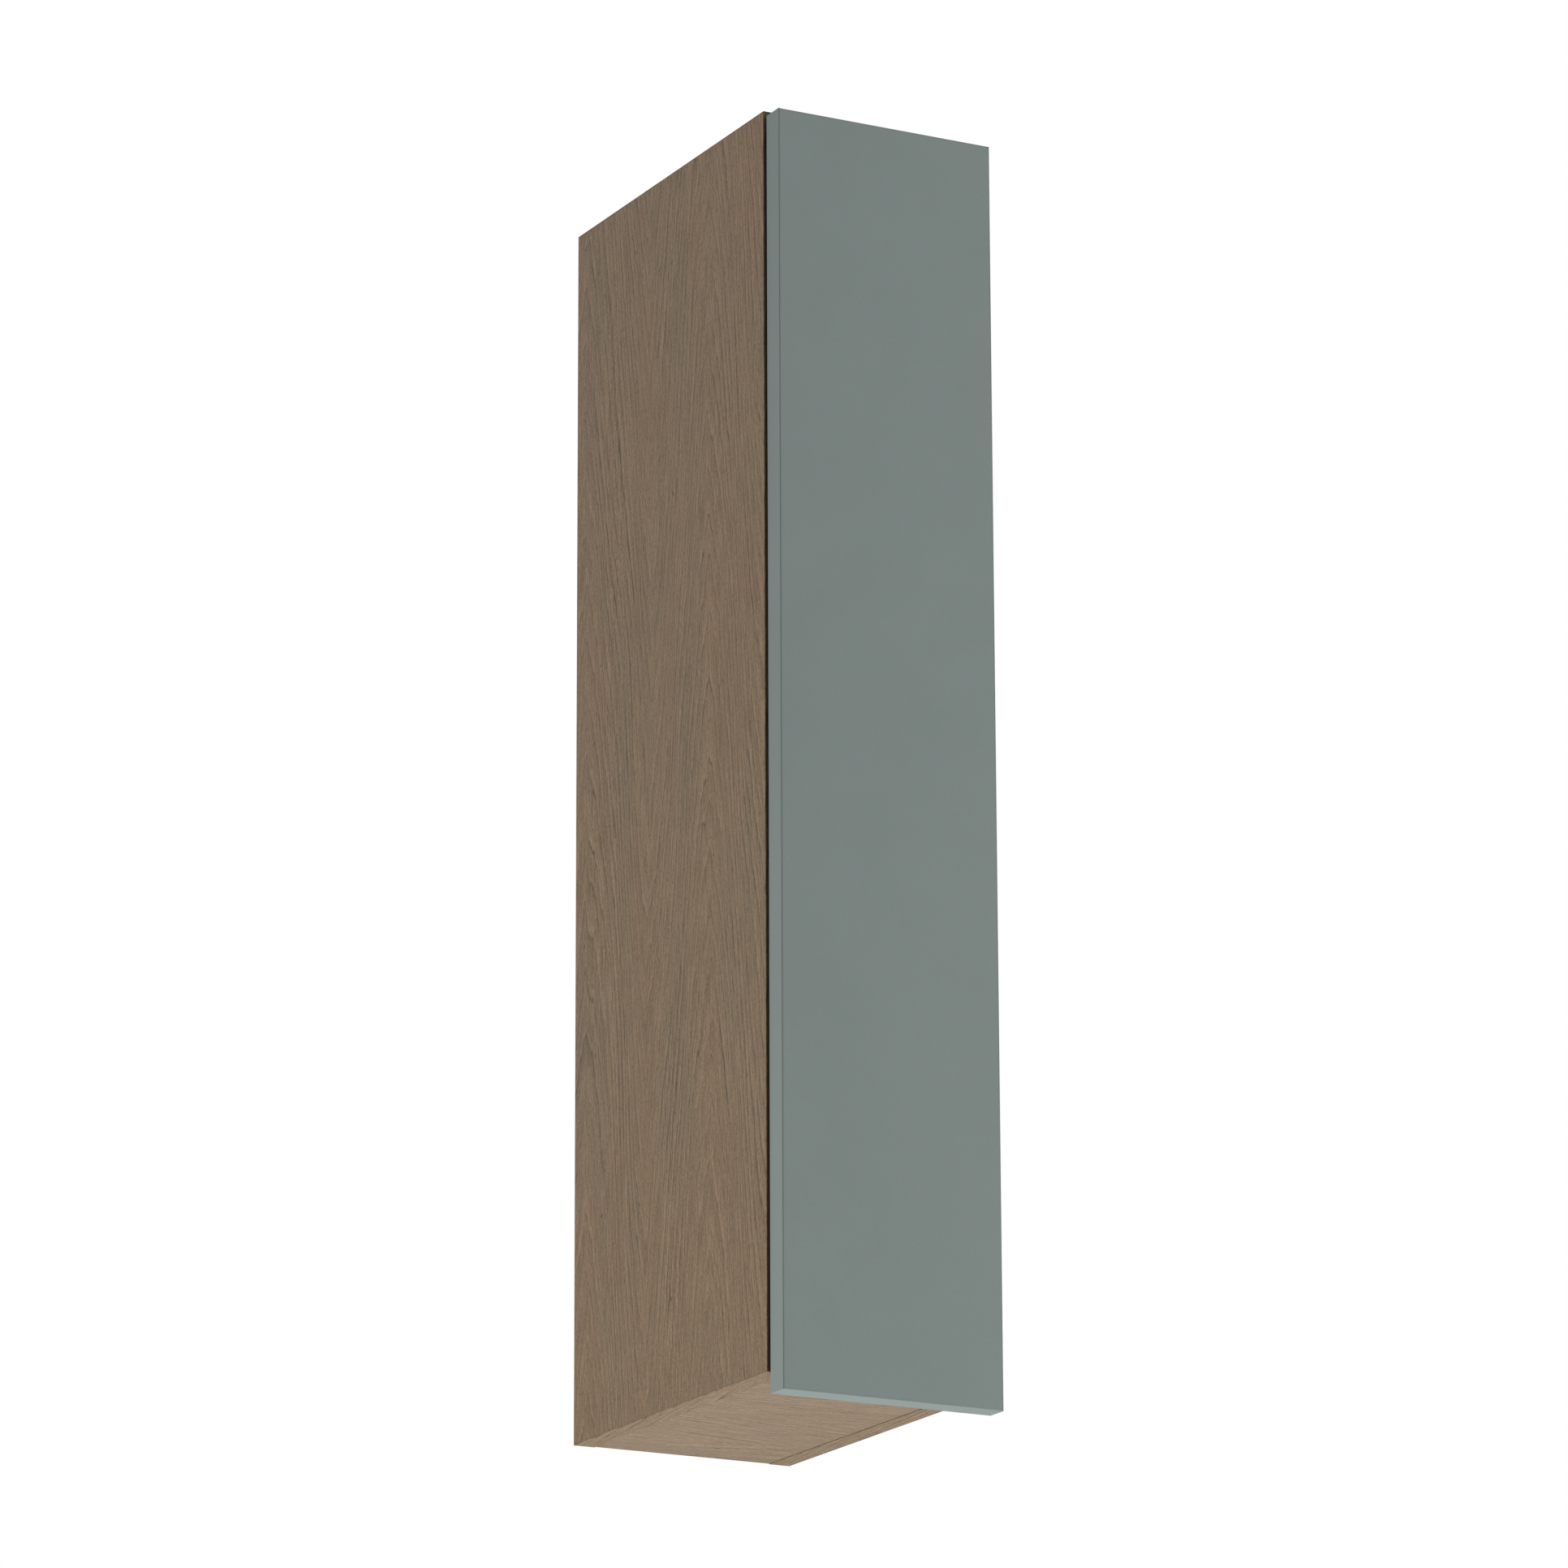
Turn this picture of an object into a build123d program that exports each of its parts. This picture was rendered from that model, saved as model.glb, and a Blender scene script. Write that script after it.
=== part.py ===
from build123d import *
import math
import os

# Narrow handleless wall cabinet with one door, hung on the right.
# Millimetres. +Z is up, +Y points at the wall, +X is to the right for someone facing the door.
# The origin lies on the wall plane, on the centre line, at the underside of the bottom panel.

# Carcass
carcass_width = 200.0
carcass_height = 1050.0
carcass_depth = 340.0
panel_thickness = 19.0
bottom_recess = 0.5
edge_band = 1.0
back_thickness = 8.0
back_void = 17.0
groove_depth = 7.0
groove_play = 0.1
back_play = 0.5

# Door
door_thickness = 22.0
door_gap = 2.0
door_side_inset = 1.5
door_top_drop = 5.0
door_grip_overhang = 18.0
door_edge_radius = 0.8
largest_edge_radius = 0.9 * edge_band
bumper_diameter = 8.0
bumper_rounding = 1.0
bumper_from_edge = 9.0
bumper_from_end = 60.0
seat_clearance = 0.3

# Screws: their clearance holes, and the cross recess as shares of the head's diameter
screw_hole_play = 0.1
cross_reach = 0.6
cross_width = 0.14

# Dowels in the four corners
dowel_diameter = 8.0
dowel_length = 30.0
dowel_in_side = 12.0
dowel_play = 0.05
dowel_chamfer = 0.8
dowel_front_margin = 45.0
dowel_rear_margin = 55.0
dowels_per_corner = 3

# Shelves and their pins
shelf_count = 3
shelf_thickness = 19.0
shelf_side_play = 0.5
shelf_front_setback = 22.0
shelf_rear_gap = 2.0
system_pitch = 32.0
system_hole = 5.0
system_hole_depth = 12.0
system_front_line = 37.0
system_rear_line = 62.0
holes_per_group = 5
shelf_pin_play = 0.05
shelf_pin_reach = 10.0
shelf_pin_head = 8.0
shelf_pin_lip = 8.0

# Concealed hinges: the plan of one hinge is set from the side panel's inner face and front edge
hinge_from_end = 96.0
middle_hinge_above_centre = 96.0
cup_diameter = 35.0
cup_depth = 12.0
cup_wall = 1.2
cup_floor = 1.0
cup_past_panel_face = 3.0
ear_thickness = 1.2
ear_width = 13.0
ear_length = 58.0
ear_corner_radius = 4.3
ear_screw_spacing = 45.0
ear_screw_offset = 9.5
cup_screw_diameter = 3.5
cup_screw_length = 13.0
cup_screw_head = 7.0
cup_screw_head_height = 2.0
arm_pin_inboard = 11.0
arm_pin_behind_front = 13.5
cup_pin_outboard = 8.4
cup_pin_in_front = 5.3
link_thickness = 3.2
link_knee_outboard = 1.5
link_knee_depth = 8.4
link_toe_outboard = 4.0
link_eye = 5.2
link_rear_eye = 6.0
pin_diameter = 2.6
pin_running_clearance = 0.05
pin_in_cup_wall = 0.2
link_side_play = 0.8
arm_wall = 1.2
arm_outer_height = 17.0
arm_nose = 4.5
arm_length = 48.0
arm_cheek_depth = 12.0
arm_web_setback = 4.0
plate_thickness = 2.5
plate_block_height = 9.0
plate_block_side_play = 0.2
plate_block_length = 34.0
plate_wing_width = 12.0
plate_screw_spacing = 32.0
plate_wing_margin = 8.0
plate_screw_diameter = 5.0
plate_screw_length = 13.0
plate_screw_head = 9.0
plate_screw_head_height = 1.8
arm_screw_diameter = 5.0
arm_screw_head = 8.0
arm_screw_head_height = 1.5

# Cabinet hangers in the two upper rear corners
hanger_width = 20.0
hanger_depth = 62.0
hanger_height = 56.0
hanger_wall = 2.0
hanger_below_top = 2.0
hanger_foot = 16.0
hanger_foot_length = 44.0
hook_thickness = 7.0
hook_bar_height = 12.0
hook_tooth = 3.0
hook_drop = 12.0
hook_from_wall = 3.0
hook_lift_range = 7.0
hook_pull_range = 8.0
slide_clearance = 0.2
carriage_length = 36.0
carriage_height = 24.0
carriage_nose = 8.0
hanger_screw_diameter = 4.0
hanger_screw_head = 8.0
hanger_screw_grip = 6.0
height_screw_offset = 5.0
height_screw_length = 30.0
hanger_screw_head_height = 3.0
hanger_wood_screw = 4.0
hanger_wood_screw_length = 14.0
hanger_wood_screw_head = 7.0
hanger_wood_screw_head_height = 1.6
cover_wall = 1.2
cover_play = 0.3
notch_margin = 3.0

# Derived places
half_width = carcass_width / 2
inner_x = half_width - panel_thickness
side_bottom = -bottom_recess
side_top = side_bottom + carcass_height
top_underside = side_top - panel_thickness
front_y = -carcass_depth
board_front_y = front_y + edge_band
back_rear_y = -back_void
back_front_y = back_rear_y - back_thickness
door_back_y = front_y - door_gap
door_front_y = door_back_y - door_thickness
door_half_width = half_width - door_side_inset
door_bottom = side_bottom - door_grip_overhang
door_top = side_top - door_top_drop
cup_x = inner_x - cup_past_panel_face
arm_pin = (inner_x - arm_pin_inboard, front_y + arm_pin_behind_front)
cup_pin = (inner_x + cup_pin_outboard, front_y - cup_pin_in_front)
plate_y = front_y + system_front_line
hinge_heights = [
    hinge_from_end,
    (side_bottom + side_top) / 2 + middle_hinge_above_centre,
    side_top - hinge_from_end,
]
shelf_space = (top_underside - panel_thickness - shelf_count * shelf_thickness) / (shelf_count + 1)
shelf_bottoms = [
    panel_thickness + (n + 1) * shelf_space + n * shelf_thickness for n in range(shelf_count)
]
shelf_front_y = front_y + shelf_front_setback
shelf_rear_y = back_front_y - shelf_rear_gap
rear_line_y = back_front_y - system_rear_line
hanger_top = top_underside - hanger_below_top
hanger_bottom = hanger_top - hanger_height
hook_z = hanger_bottom + hanger_height / 2
hook_centre_x = inner_x - hanger_width / 2
carriage_front_y = back_front_y - hanger_depth + hanger_wall + hanger_screw_head_height + slide_clearance
hook_front_y = carriage_front_y + carriage_nose + hook_pull_range
link_height = arm_outer_height - 2 * arm_wall - 2 * link_side_play


def block(x, y, z):
    """Box between two corners, each axis given as (low, high)."""
    size = [hi - lo for lo, hi in (x, y, z)]
    centre = [(hi + lo) / 2 for lo, hi in (x, y, z)]
    return Pos(*centre) * Box(*size)


def rod(axis, start, length, diameter):
    """Round bar from a point along +axis."""
    turn = {"x": Rot(0, 90, 0), "y": Rot(-90, 0, 0), "z": Rot(0, 0, 0)}[axis]
    bar = Cylinder(diameter / 2, length, align=(Align.CENTER, Align.CENTER, Align.MIN))
    return Pos(*start) * turn * bar


def mirrored(shape):
    return mirror(shape, about=Plane.YZ)


def screw(axis, start, towards, shank, length, head, head_height):
    """Pan-head screw: start is the seat of its head, and it points towards +1 or -1 along the axis."""
    step = {"x": (1, 0, 0), "y": (0, 1, 0), "z": (0, 0, 1)}[axis]
    tip = [s + min(towards, 0) * length * d for s, d in zip(start, step)]
    top = [s - max(towards, 0) * head_height * d for s, d in zip(start, step)]
    body = rod(axis, tip, length, shank) + rod(axis, top, head_height, head)
    slot = [s - towards * head_height * d for s, d in zip(start, step)]
    return body - cross_recess(slot, axis, head)


def cross_recess(centre, axis, head):
    """Cross cut into a screw head, centred on the head's outer face."""
    long, thin = head * cross_reach, head * cross_width
    deep = 2 * thin
    bars = {
        "x": [(deep, long, thin), (deep, thin, long)],
        "y": [(long, deep, thin), (thin, deep, long)],
        "z": [(long, thin, deep), (thin, long, deep)],
    }[axis]
    return Pos(*centre) * Box(*bars[0]) + Pos(*centre) * Box(*bars[1])


def capsule(a, b, width):
    """Flat bar with round ends between two plan points."""
    run = math.dist(a, b)
    angle = math.degrees(math.atan2(b[1] - a[1], b[0] - a[0]))
    return Pos((a[0] + b[0]) / 2, (a[1] + b[1]) / 2) * Rot(0, 0, angle) * SlotCenterToCenter(run, width)


def save(name, *solids):
    shape = solids[0] if len(solids) == 1 else Compound(children=list(solids))
    export_step(shape, f"parts/{name}.step")


def spread(first, last, count):
    return [first + (last - first) * n / (count - 1) for n in range(count)]


def dowel_ys():
    return spread(front_y + dowel_front_margin, -dowel_rear_margin, dowels_per_corner)


def dowel_zs():
    return [panel_thickness / 2, side_top - panel_thickness / 2]


def shelf_pin_zs(shelf_bottom):
    """Heights of one group of pin holes, its middle hole carrying the shelf."""
    middle = shelf_bottom - system_hole / 2
    return [middle + (n - holes_per_group // 2) * system_pitch for n in range(holes_per_group)]


def side_panel(hinged):
    """Right-hand side board with its grooves and holes; the left one is its mirror image."""
    board = block(
        (inner_x, half_width),
        (board_front_y, 0),
        (side_bottom + edge_band, side_top - edge_band),
    )
    board -= block(
        (inner_x, inner_x + groove_depth),
        (back_front_y - groove_play, back_rear_y + groove_play),
        (panel_thickness - groove_depth, top_underside + groove_depth),
    )
    holes = []
    for y in dowel_ys():
        for z in dowel_zs():
            holes.append(rod("x", (inner_x, y, z), dowel_in_side, dowel_diameter + 2 * dowel_play))
    for bottom in shelf_bottoms:
        for z in shelf_pin_zs(bottom):
            for y in (plate_y, rear_line_y):
                holes.append(rod("x", (inner_x, y, z), system_hole_depth, system_hole))
    for y in hanger_screw_ys():
        start = (inner_x, y, hanger_screw_z())
        holes.append(rod("x", start, hanger_wood_screw_length, hanger_wood_screw))
    if hinged:
        for z in hinge_heights:
            for step in (-0.5, 0.5):
                centre = (inner_x, plate_y, z + step * plate_screw_spacing)
                holes.append(rod("x", centre, plate_screw_length, plate_screw_diameter))
    board -= holes
    return board


def cross_panel(low, groove_at):
    """Top or bottom board between the sides, grooved on its inner face for the back."""
    board = block((-inner_x, inner_x), (board_front_y, 0), (low, low + panel_thickness))
    board -= block(
        (-inner_x, inner_x),
        (back_front_y - groove_play, back_rear_y + groove_play),
        (groove_at, groove_at + groove_depth),
    )
    in_end = dowel_length - dowel_in_side
    for y in dowel_ys():
        for side in (-1, 1):
            start = (side * inner_x - (in_end if side > 0 else 0), y, low + panel_thickness / 2)
            board -= rod("x", start, in_end, dowel_diameter + 2 * dowel_play)
    return board


def back_panel():
    reach = groove_depth - back_play
    board = block(
        (-inner_x - reach, inner_x + reach),
        (back_front_y, back_rear_y),
        (panel_thickness - reach, top_underside + reach),
    )
    hook_low = hook_z - hook_bar_height / 2 - hook_drop - hook_lift_range
    notch = block(
        (hook_centre_x - hook_thickness / 2 - notch_margin, inner_x + reach),
        (back_front_y, back_rear_y),
        (hook_low - notch_margin, top_underside + reach),
    )
    return board - notch - mirrored(notch)


def side_front_bands():
    band = block((inner_x, half_width), (front_y, board_front_y), (side_bottom, side_top))
    return [band, mirrored(band)]


def side_end_bands():
    bands = []
    for low in (side_bottom, side_top - edge_band):
        band = block((inner_x, half_width), (board_front_y, 0), (low, low + edge_band))
        bands += [band, mirrored(band)]
    return bands


def cross_panel_bands():
    return [
        block((-inner_x, inner_x), (front_y, board_front_y), (low, low + panel_thickness))
        for low in (0, top_underside)
    ]


def dowels():
    pins = []
    for y in dowel_ys():
        for z in dowel_zs():
            pin = rod("x", (inner_x + dowel_in_side - dowel_length, y, z), dowel_length, dowel_diameter)
            pin = chamfer(pin.edges().filter_by(GeomType.CIRCLE), dowel_chamfer)
            pins += [pin, mirrored(pin)]
    return pins


def shelf(bottom):
    half = inner_x - shelf_side_play
    return block(
        (-half, half),
        (shelf_front_y + edge_band, shelf_rear_y),
        (bottom, bottom + shelf_thickness),
    )


def shelf_band(bottom):
    half = inner_x - shelf_side_play
    return block(
        (-half, half),
        (shelf_front_y, shelf_front_y + edge_band),
        (bottom, bottom + shelf_thickness),
    )


def shelf_pin(y, bottom):
    """Steel pin whose round head is cut flat where the shelf lies on it."""
    z = bottom - system_hole / 2
    pin = rod(
        "x",
        (inner_x - shelf_pin_lip, y, z),
        shelf_pin_lip + shelf_pin_reach,
        system_hole - 2 * shelf_pin_play,
    )
    head = rod("x", (inner_x - shelf_pin_lip, y, z), shelf_pin_lip, shelf_pin_head)
    above = block(
        (inner_x - shelf_pin_lip, inner_x),
        (y - shelf_pin_head, y + shelf_pin_head),
        (bottom, bottom + shelf_pin_head),
    )
    return pin + (head - above)


def shelf_pins():
    pins = []
    for bottom in shelf_bottoms:
        for y in (plate_y, rear_line_y):
            pin = shelf_pin(y, bottom)
            pins += [pin, mirrored(pin)]
    return pins


def door_panel():
    board = block(
        (-door_half_width + edge_band, door_half_width - edge_band),
        (door_front_y, door_back_y),
        (door_bottom + edge_band, door_top - edge_band),
    )
    for z in hinge_heights:
        board -= rod("y", (cup_x, door_back_y - cup_depth, z), cup_depth, cup_diameter)
        for step in (-0.5, 0.5):
            start = (cup_x - ear_screw_offset, door_back_y - cup_screw_length, z + step * ear_screw_spacing)
            board -= rod("y", start, cup_screw_length, cup_screw_diameter)
    return board


def door_side_bands():
    band = block(
        (door_half_width - edge_band, door_half_width),
        (door_front_y, door_back_y),
        (door_bottom, door_top),
    )
    outer = band.edges().filter_by(Axis.Z).sort_by(Axis.X)[2:]
    band = fillet(outer, min(door_edge_radius, largest_edge_radius))
    return [band, mirrored(band)]


def door_end_bands():
    bands = []
    for low, outward in ((door_bottom, -1), (door_top - edge_band, 1)):
        band = block(
            (-door_half_width + edge_band, door_half_width - edge_band),
            (door_front_y, door_back_y),
            (low, low + edge_band),
        )
        edges = band.edges().filter_by(Axis.X).sort_by(Axis.Z)
        outer = edges[:2] if outward < 0 else edges[2:]
        bands.append(fillet(outer, min(door_edge_radius, largest_edge_radius)))
    return bands


def door_bumpers():
    """Soft pads that stop the door just short of the left side panel."""
    height = door_gap - seat_clearance
    x = -door_half_width + bumper_from_edge
    pads = []
    for z in (door_bottom + bumper_from_end, door_top - bumper_from_end):
        pad = rod("y", (x, door_back_y, z), height, bumper_diameter)
        rim = pad.edges().filter_by(GeomType.CIRCLE).sort_by(Axis.Y)[-1]
        pads.append(fillet(rim, min(bumper_rounding, 0.9 * height)))
    return pads


def hinge_cup(z):
    """Pressed steel cup with two screw ears, let into the back of the door."""
    floor_y = door_back_y - cup_depth
    cup = rod("y", (cup_x, floor_y, z), cup_depth, cup_diameter)
    ears = block(
        (cup_x - ear_screw_offset - ear_width / 2, cup_x - ear_screw_offset + ear_width / 2),
        (door_back_y, door_back_y + ear_thickness),
        (z - ear_length / 2, z + ear_length / 2),
    )
    cup += fillet(ears.edges().filter_by(Axis.Y), min(ear_corner_radius, 0.49 * ear_width))
    hollow = rod("y", (cup_x, floor_y + cup_floor, z), cup_depth + ear_thickness, cup_diameter - 2 * cup_wall)
    cup -= hollow
    for step in (-0.5, 0.5):
        start = (cup_x - ear_screw_offset, door_back_y, z + step * ear_screw_spacing)
        cup -= rod("y", start, ear_thickness, cup_screw_diameter + 2 * screw_hole_play)
    return cup - cup_pin_rod(z, pin_diameter)


def cup_pin_rod(z, diameter):
    """The cup's pin, whose ends sit in the cup's wall without coming out of it."""
    furthest = cup_pin[0] - cup_x + diameter / 2
    half = math.sqrt((cup_diameter / 2) ** 2 - furthest**2) - pin_in_cup_wall
    return rod("z", (cup_pin[0], cup_pin[1], z - half), 2 * half, diameter)


def hinge_link(z):
    """Curved link from the arm's pin down into the cup and out to the cup's pin."""
    knee = (arm_pin[0] + link_knee_outboard + link_thickness, front_y - link_knee_depth)
    toe = (cup_pin[0] - link_toe_outboard, knee[1])
    plan = capsule(arm_pin, knee, link_thickness)
    plan += capsule(knee, toe, link_thickness)
    plan += capsule(toe, cup_pin, link_thickness)
    plan += Pos(*arm_pin) * Circle(link_rear_eye / 2)
    plan += Pos(*cup_pin) * Circle(link_eye / 2)
    hole = pin_diameter / 2 + pin_running_clearance
    plan -= Pos(*arm_pin) * Circle(hole)
    plan -= Pos(*cup_pin) * Circle(hole)
    return Pos(0, 0, z - link_height / 2) * extrude(plan, link_height)


def arm_faces():
    """The arm's web face towards the room's side, and the ends of its cheeks."""
    web_x = arm_pin[0] - arm_nose
    return web_x, web_x + arm_cheek_depth


def hinge_arm(z):
    """Steel channel that straddles the plate's block and holds the link's rear pin in its cheeks."""
    web_x, cheek_x = arm_faces()
    nose_y = arm_pin[1] - arm_nose
    half = arm_outer_height / 2
    arm = block((web_x, cheek_x), (nose_y, nose_y + arm_length), (z - half, z + half))
    arm -= block(
        (web_x + arm_wall, cheek_x),
        (nose_y, nose_y + arm_length),
        (z - half + arm_wall, z + half - arm_wall),
    )
    arm -= block(
        (web_x, web_x + arm_wall),
        (nose_y, arm_pin[1] + arm_web_setback),
        (z - half + arm_wall, z + half - arm_wall),
    )
    arm -= rod("z", (arm_pin[0], arm_pin[1], z - half), arm_outer_height, pin_diameter)
    arm -= rod("x", (web_x, plate_y, z), arm_wall, arm_screw_diameter + 2 * screw_hole_play)
    return arm


def hinge_plate(z):
    """Mounting plate: a block under the arm and two screwed wings on the side panel."""
    inside = arm_outer_height - 2 * arm_wall - 2 * plate_block_side_play
    plate = block(
        (inner_x - plate_block_height, inner_x),
        (plate_y - plate_block_length / 2, plate_y + plate_block_length / 2),
        (z - inside / 2, z + inside / 2),
    )
    reach = plate_screw_spacing / 2 + plate_wing_margin
    plate += block(
        (inner_x - plate_thickness, inner_x),
        (plate_y - plate_wing_width / 2, plate_y + plate_wing_width / 2),
        (z - reach, z + reach),
    )
    for step in (-0.5, 0.5):
        start = (inner_x - plate_thickness, plate_y, z + step * plate_screw_spacing)
        plate -= rod("x", start, plate_thickness, plate_screw_diameter)
    plate -= rod("x", (inner_x - plate_block_height, plate_y, z), plate_block_height, arm_screw_diameter)
    return plate


def arm_pins():
    return [
        rod("z", (arm_pin[0], arm_pin[1], z - arm_outer_height / 2), arm_outer_height, pin_diameter)
        for z in hinge_heights
    ]


def cup_pins():
    return [cup_pin_rod(z, pin_diameter) for z in hinge_heights]


def cup_screws():
    screws = []
    for z in hinge_heights:
        for step in (-0.5, 0.5):
            seat = (
                cup_x - ear_screw_offset,
                door_back_y + ear_thickness,
                z + step * ear_screw_spacing,
            )
            length = cup_screw_length + ear_thickness
            screws.append(
                screw("y", seat, -1, cup_screw_diameter, length, cup_screw_head, cup_screw_head_height)
            )
    return screws


def plate_screws():
    screws = []
    for z in hinge_heights:
        for step in (-0.5, 0.5):
            seat = (inner_x - plate_thickness, plate_y, z + step * plate_screw_spacing)
            length = plate_screw_length + plate_thickness
            screws.append(
                screw("x", seat, 1, plate_screw_diameter, length, plate_screw_head, plate_screw_head_height)
            )
    return screws


def arm_screws():
    web_x, _ = arm_faces()
    length = inner_x - web_x
    return [
        screw("x", (web_x, plate_y, z), 1, arm_screw_diameter, length, arm_screw_head, arm_screw_head_height)
        for z in hinge_heights
    ]


def hanger_screw_z():
    return hanger_bottom - hanger_foot / 2


def hanger_screw_ys():
    middle = back_front_y - hanger_depth / 2
    return [middle - hanger_foot_length / 4, middle + hanger_foot_length / 4]


def height_screw_place():
    return hook_centre_x - height_screw_offset, carriage_front_y + carriage_nose / 2


def hanger_housing():
    """Right-hand hanger shell, open towards the wall, with a screwed foot below it."""
    x = (inner_x - hanger_width, inner_x)
    y = (back_front_y - hanger_depth, back_front_y)
    housing = block(x, y, (hanger_bottom, hanger_top))
    housing -= block(
        (x[0] + hanger_wall, x[1] - hanger_wall),
        (y[0] + hanger_wall, y[1]),
        (hanger_bottom + hanger_wall, hanger_top - hanger_wall),
    )
    middle = back_front_y - hanger_depth / 2
    housing += block(
        (inner_x - hanger_wall, inner_x),
        (middle - hanger_foot_length / 2, middle + hanger_foot_length / 2),
        (hanger_bottom - hanger_foot, hanger_bottom),
    )
    for screw_y in hanger_screw_ys():
        start = (inner_x - hanger_wall, screw_y, hanger_screw_z())
        housing -= rod("x", start, hanger_wall, hanger_wood_screw)
    window = hanger_screw_head + 2 * slide_clearance
    housing -= block(
        (hook_centre_x - window / 2, hook_centre_x + window / 2),
        (y[0], y[0] + hanger_wall),
        (hook_z - hook_lift_range - window / 2, hook_z + hook_lift_range + window / 2),
    )
    screw_hole = hanger_screw_diameter + 2 * screw_hole_play
    return housing - rod("z", (*height_screw_place(), hanger_bottom), hanger_wall, screw_hole)


def hanger_carriage():
    """Block that rides up and down in the shell and guides the hook."""
    half = hanger_width / 2 - hanger_wall - slide_clearance
    low, high = hook_z - carriage_height / 2, hook_z + carriage_height / 2
    rear = carriage_front_y + carriage_length
    body = block(
        (hook_centre_x - half, hook_centre_x + half),
        (carriage_front_y, rear),
        (low, high),
    )
    guide = hook_thickness / 2 + slide_clearance
    tall = hook_bar_height / 2 + slide_clearance
    body -= block(
        (hook_centre_x - guide, hook_centre_x + guide),
        (carriage_front_y + carriage_nose - seat_clearance, rear),
        (hook_z - tall, hook_z + tall),
    )
    screw_hole = hanger_screw_diameter + 2 * screw_hole_play
    body -= rod("y", (hook_centre_x, carriage_front_y, hook_z), carriage_nose, screw_hole)
    return body - rod("z", (*height_screw_place(), low), carriage_height, screw_hole)


def hanger_hook():
    """Flat steel hook: a bar through the carriage with a tooth that drops behind the wall rail."""
    x = (hook_centre_x - hook_thickness / 2, hook_centre_x + hook_thickness / 2)
    half = hook_bar_height / 2
    rear = -hook_from_wall
    hook = block(x, (hook_front_y, rear), (hook_z - half, hook_z + half))
    hook += block(x, (rear - hook_tooth, rear), (hook_z - half - hook_drop, hook_z + half))
    depth = hook_pull_range + hanger_screw_grip + seat_clearance
    screw_hole = hanger_screw_diameter + 2 * screw_hole_play
    return hook - rod("y", (hook_centre_x, hook_front_y, hook_z), depth, screw_hole)


def depth_screw():
    """Screw that pulls the cabinet to the wall: its head bears on the carriage."""
    length = hook_front_y - carriage_front_y + hanger_screw_grip
    return screw(
        "y",
        (hook_centre_x, carriage_front_y, hook_z),
        1,
        hanger_screw_diameter,
        length,
        hanger_screw_head,
        hanger_screw_head_height,
    )


def height_screw():
    """Screw that lifts the carriage: its head hangs under the shell."""
    return screw(
        "z",
        (*height_screw_place(), hanger_bottom),
        1,
        hanger_screw_diameter,
        height_screw_length,
        hanger_screw_head,
        hanger_screw_head_height,
    )


def hanger_wood_screws():
    seat_x = inner_x - hanger_wall
    length = hanger_wall + hanger_wood_screw_length
    return [
        screw(
            "x",
            (seat_x, y, hanger_screw_z()),
            1,
            hanger_wood_screw,
            length,
            hanger_wood_screw_head,
            hanger_wood_screw_head_height,
        )
        for y in hanger_screw_ys()
    ]


def hanger_cover():
    """Thin cap over the hanger shell, open to the side panel, to the wall and below."""
    play = cover_play
    hidden = block(
        (inner_x - hanger_width - play, inner_x),
        (back_front_y - hanger_depth - play, back_front_y),
        (hanger_bottom, hanger_top + play),
    )
    cap = block(
        (inner_x - hanger_width - play - cover_wall, inner_x),
        (back_front_y - hanger_depth - play - cover_wall, back_front_y),
        (hanger_bottom, hanger_top + play + cover_wall),
    )
    return cap - hidden


os.makedirs("parts", exist_ok=True)

save("side_panel_right", side_panel(True))
save("side_panel_left", mirrored(side_panel(False)))
save("top_panel", cross_panel(top_underside, top_underside))
save("bottom_panel", cross_panel(0, panel_thickness - groove_depth))
save("back_panel", back_panel())
save("side_front_edge_bands", *side_front_bands())
save("side_end_edge_bands", *side_end_bands())
save("cross_panel_edge_bands", *cross_panel_bands())
save("carcass_dowels", *dowels())
for number, bottom in enumerate(shelf_bottoms, 1):
    save(f"shelf_{number}", shelf(bottom))
save("shelf_edge_bands", *[shelf_band(bottom) for bottom in shelf_bottoms])
save("shelf_pins", *shelf_pins())

save("door_panel", door_panel())
save("door_side_edge_bands", *door_side_bands())
save("door_end_edge_bands", *door_end_bands())
save("door_bumpers", *door_bumpers())

for number, height in enumerate(hinge_heights, 1):
    save(f"hinge_{number}_cup", hinge_cup(height))
    save(f"hinge_{number}_arm", hinge_arm(height))
    save(f"hinge_{number}_plate", hinge_plate(height))
    save(f"hinge_{number}_link", hinge_link(height))
save("hinge_arm_pins", *arm_pins())
save("hinge_cup_pins", *cup_pins())
save("hinge_cup_screws", *cup_screws())
save("hinge_plate_screws", *plate_screws())
save("hinge_arm_screws", *arm_screws())

for side, turn in (("right", lambda shape: shape), ("left", mirrored)):
    save(f"hanger_{side}_housing", turn(hanger_housing()))
    save(f"hanger_{side}_carriage", turn(hanger_carriage()))
    save(f"hanger_{side}_hook", turn(hanger_hook()))
    save(f"hanger_{side}_depth_screw", turn(depth_screw()))
    save(f"hanger_{side}_cover", turn(hanger_cover()))
save("hanger_height_screws", height_screw(), mirrored(height_screw()))
wood_screws = hanger_wood_screws()
save("hanger_wood_screws", *wood_screws, *[mirrored(one) for one in wood_screws])
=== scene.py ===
import math
import bmesh
import bpy
from mathutils import Matrix, Vector


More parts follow.
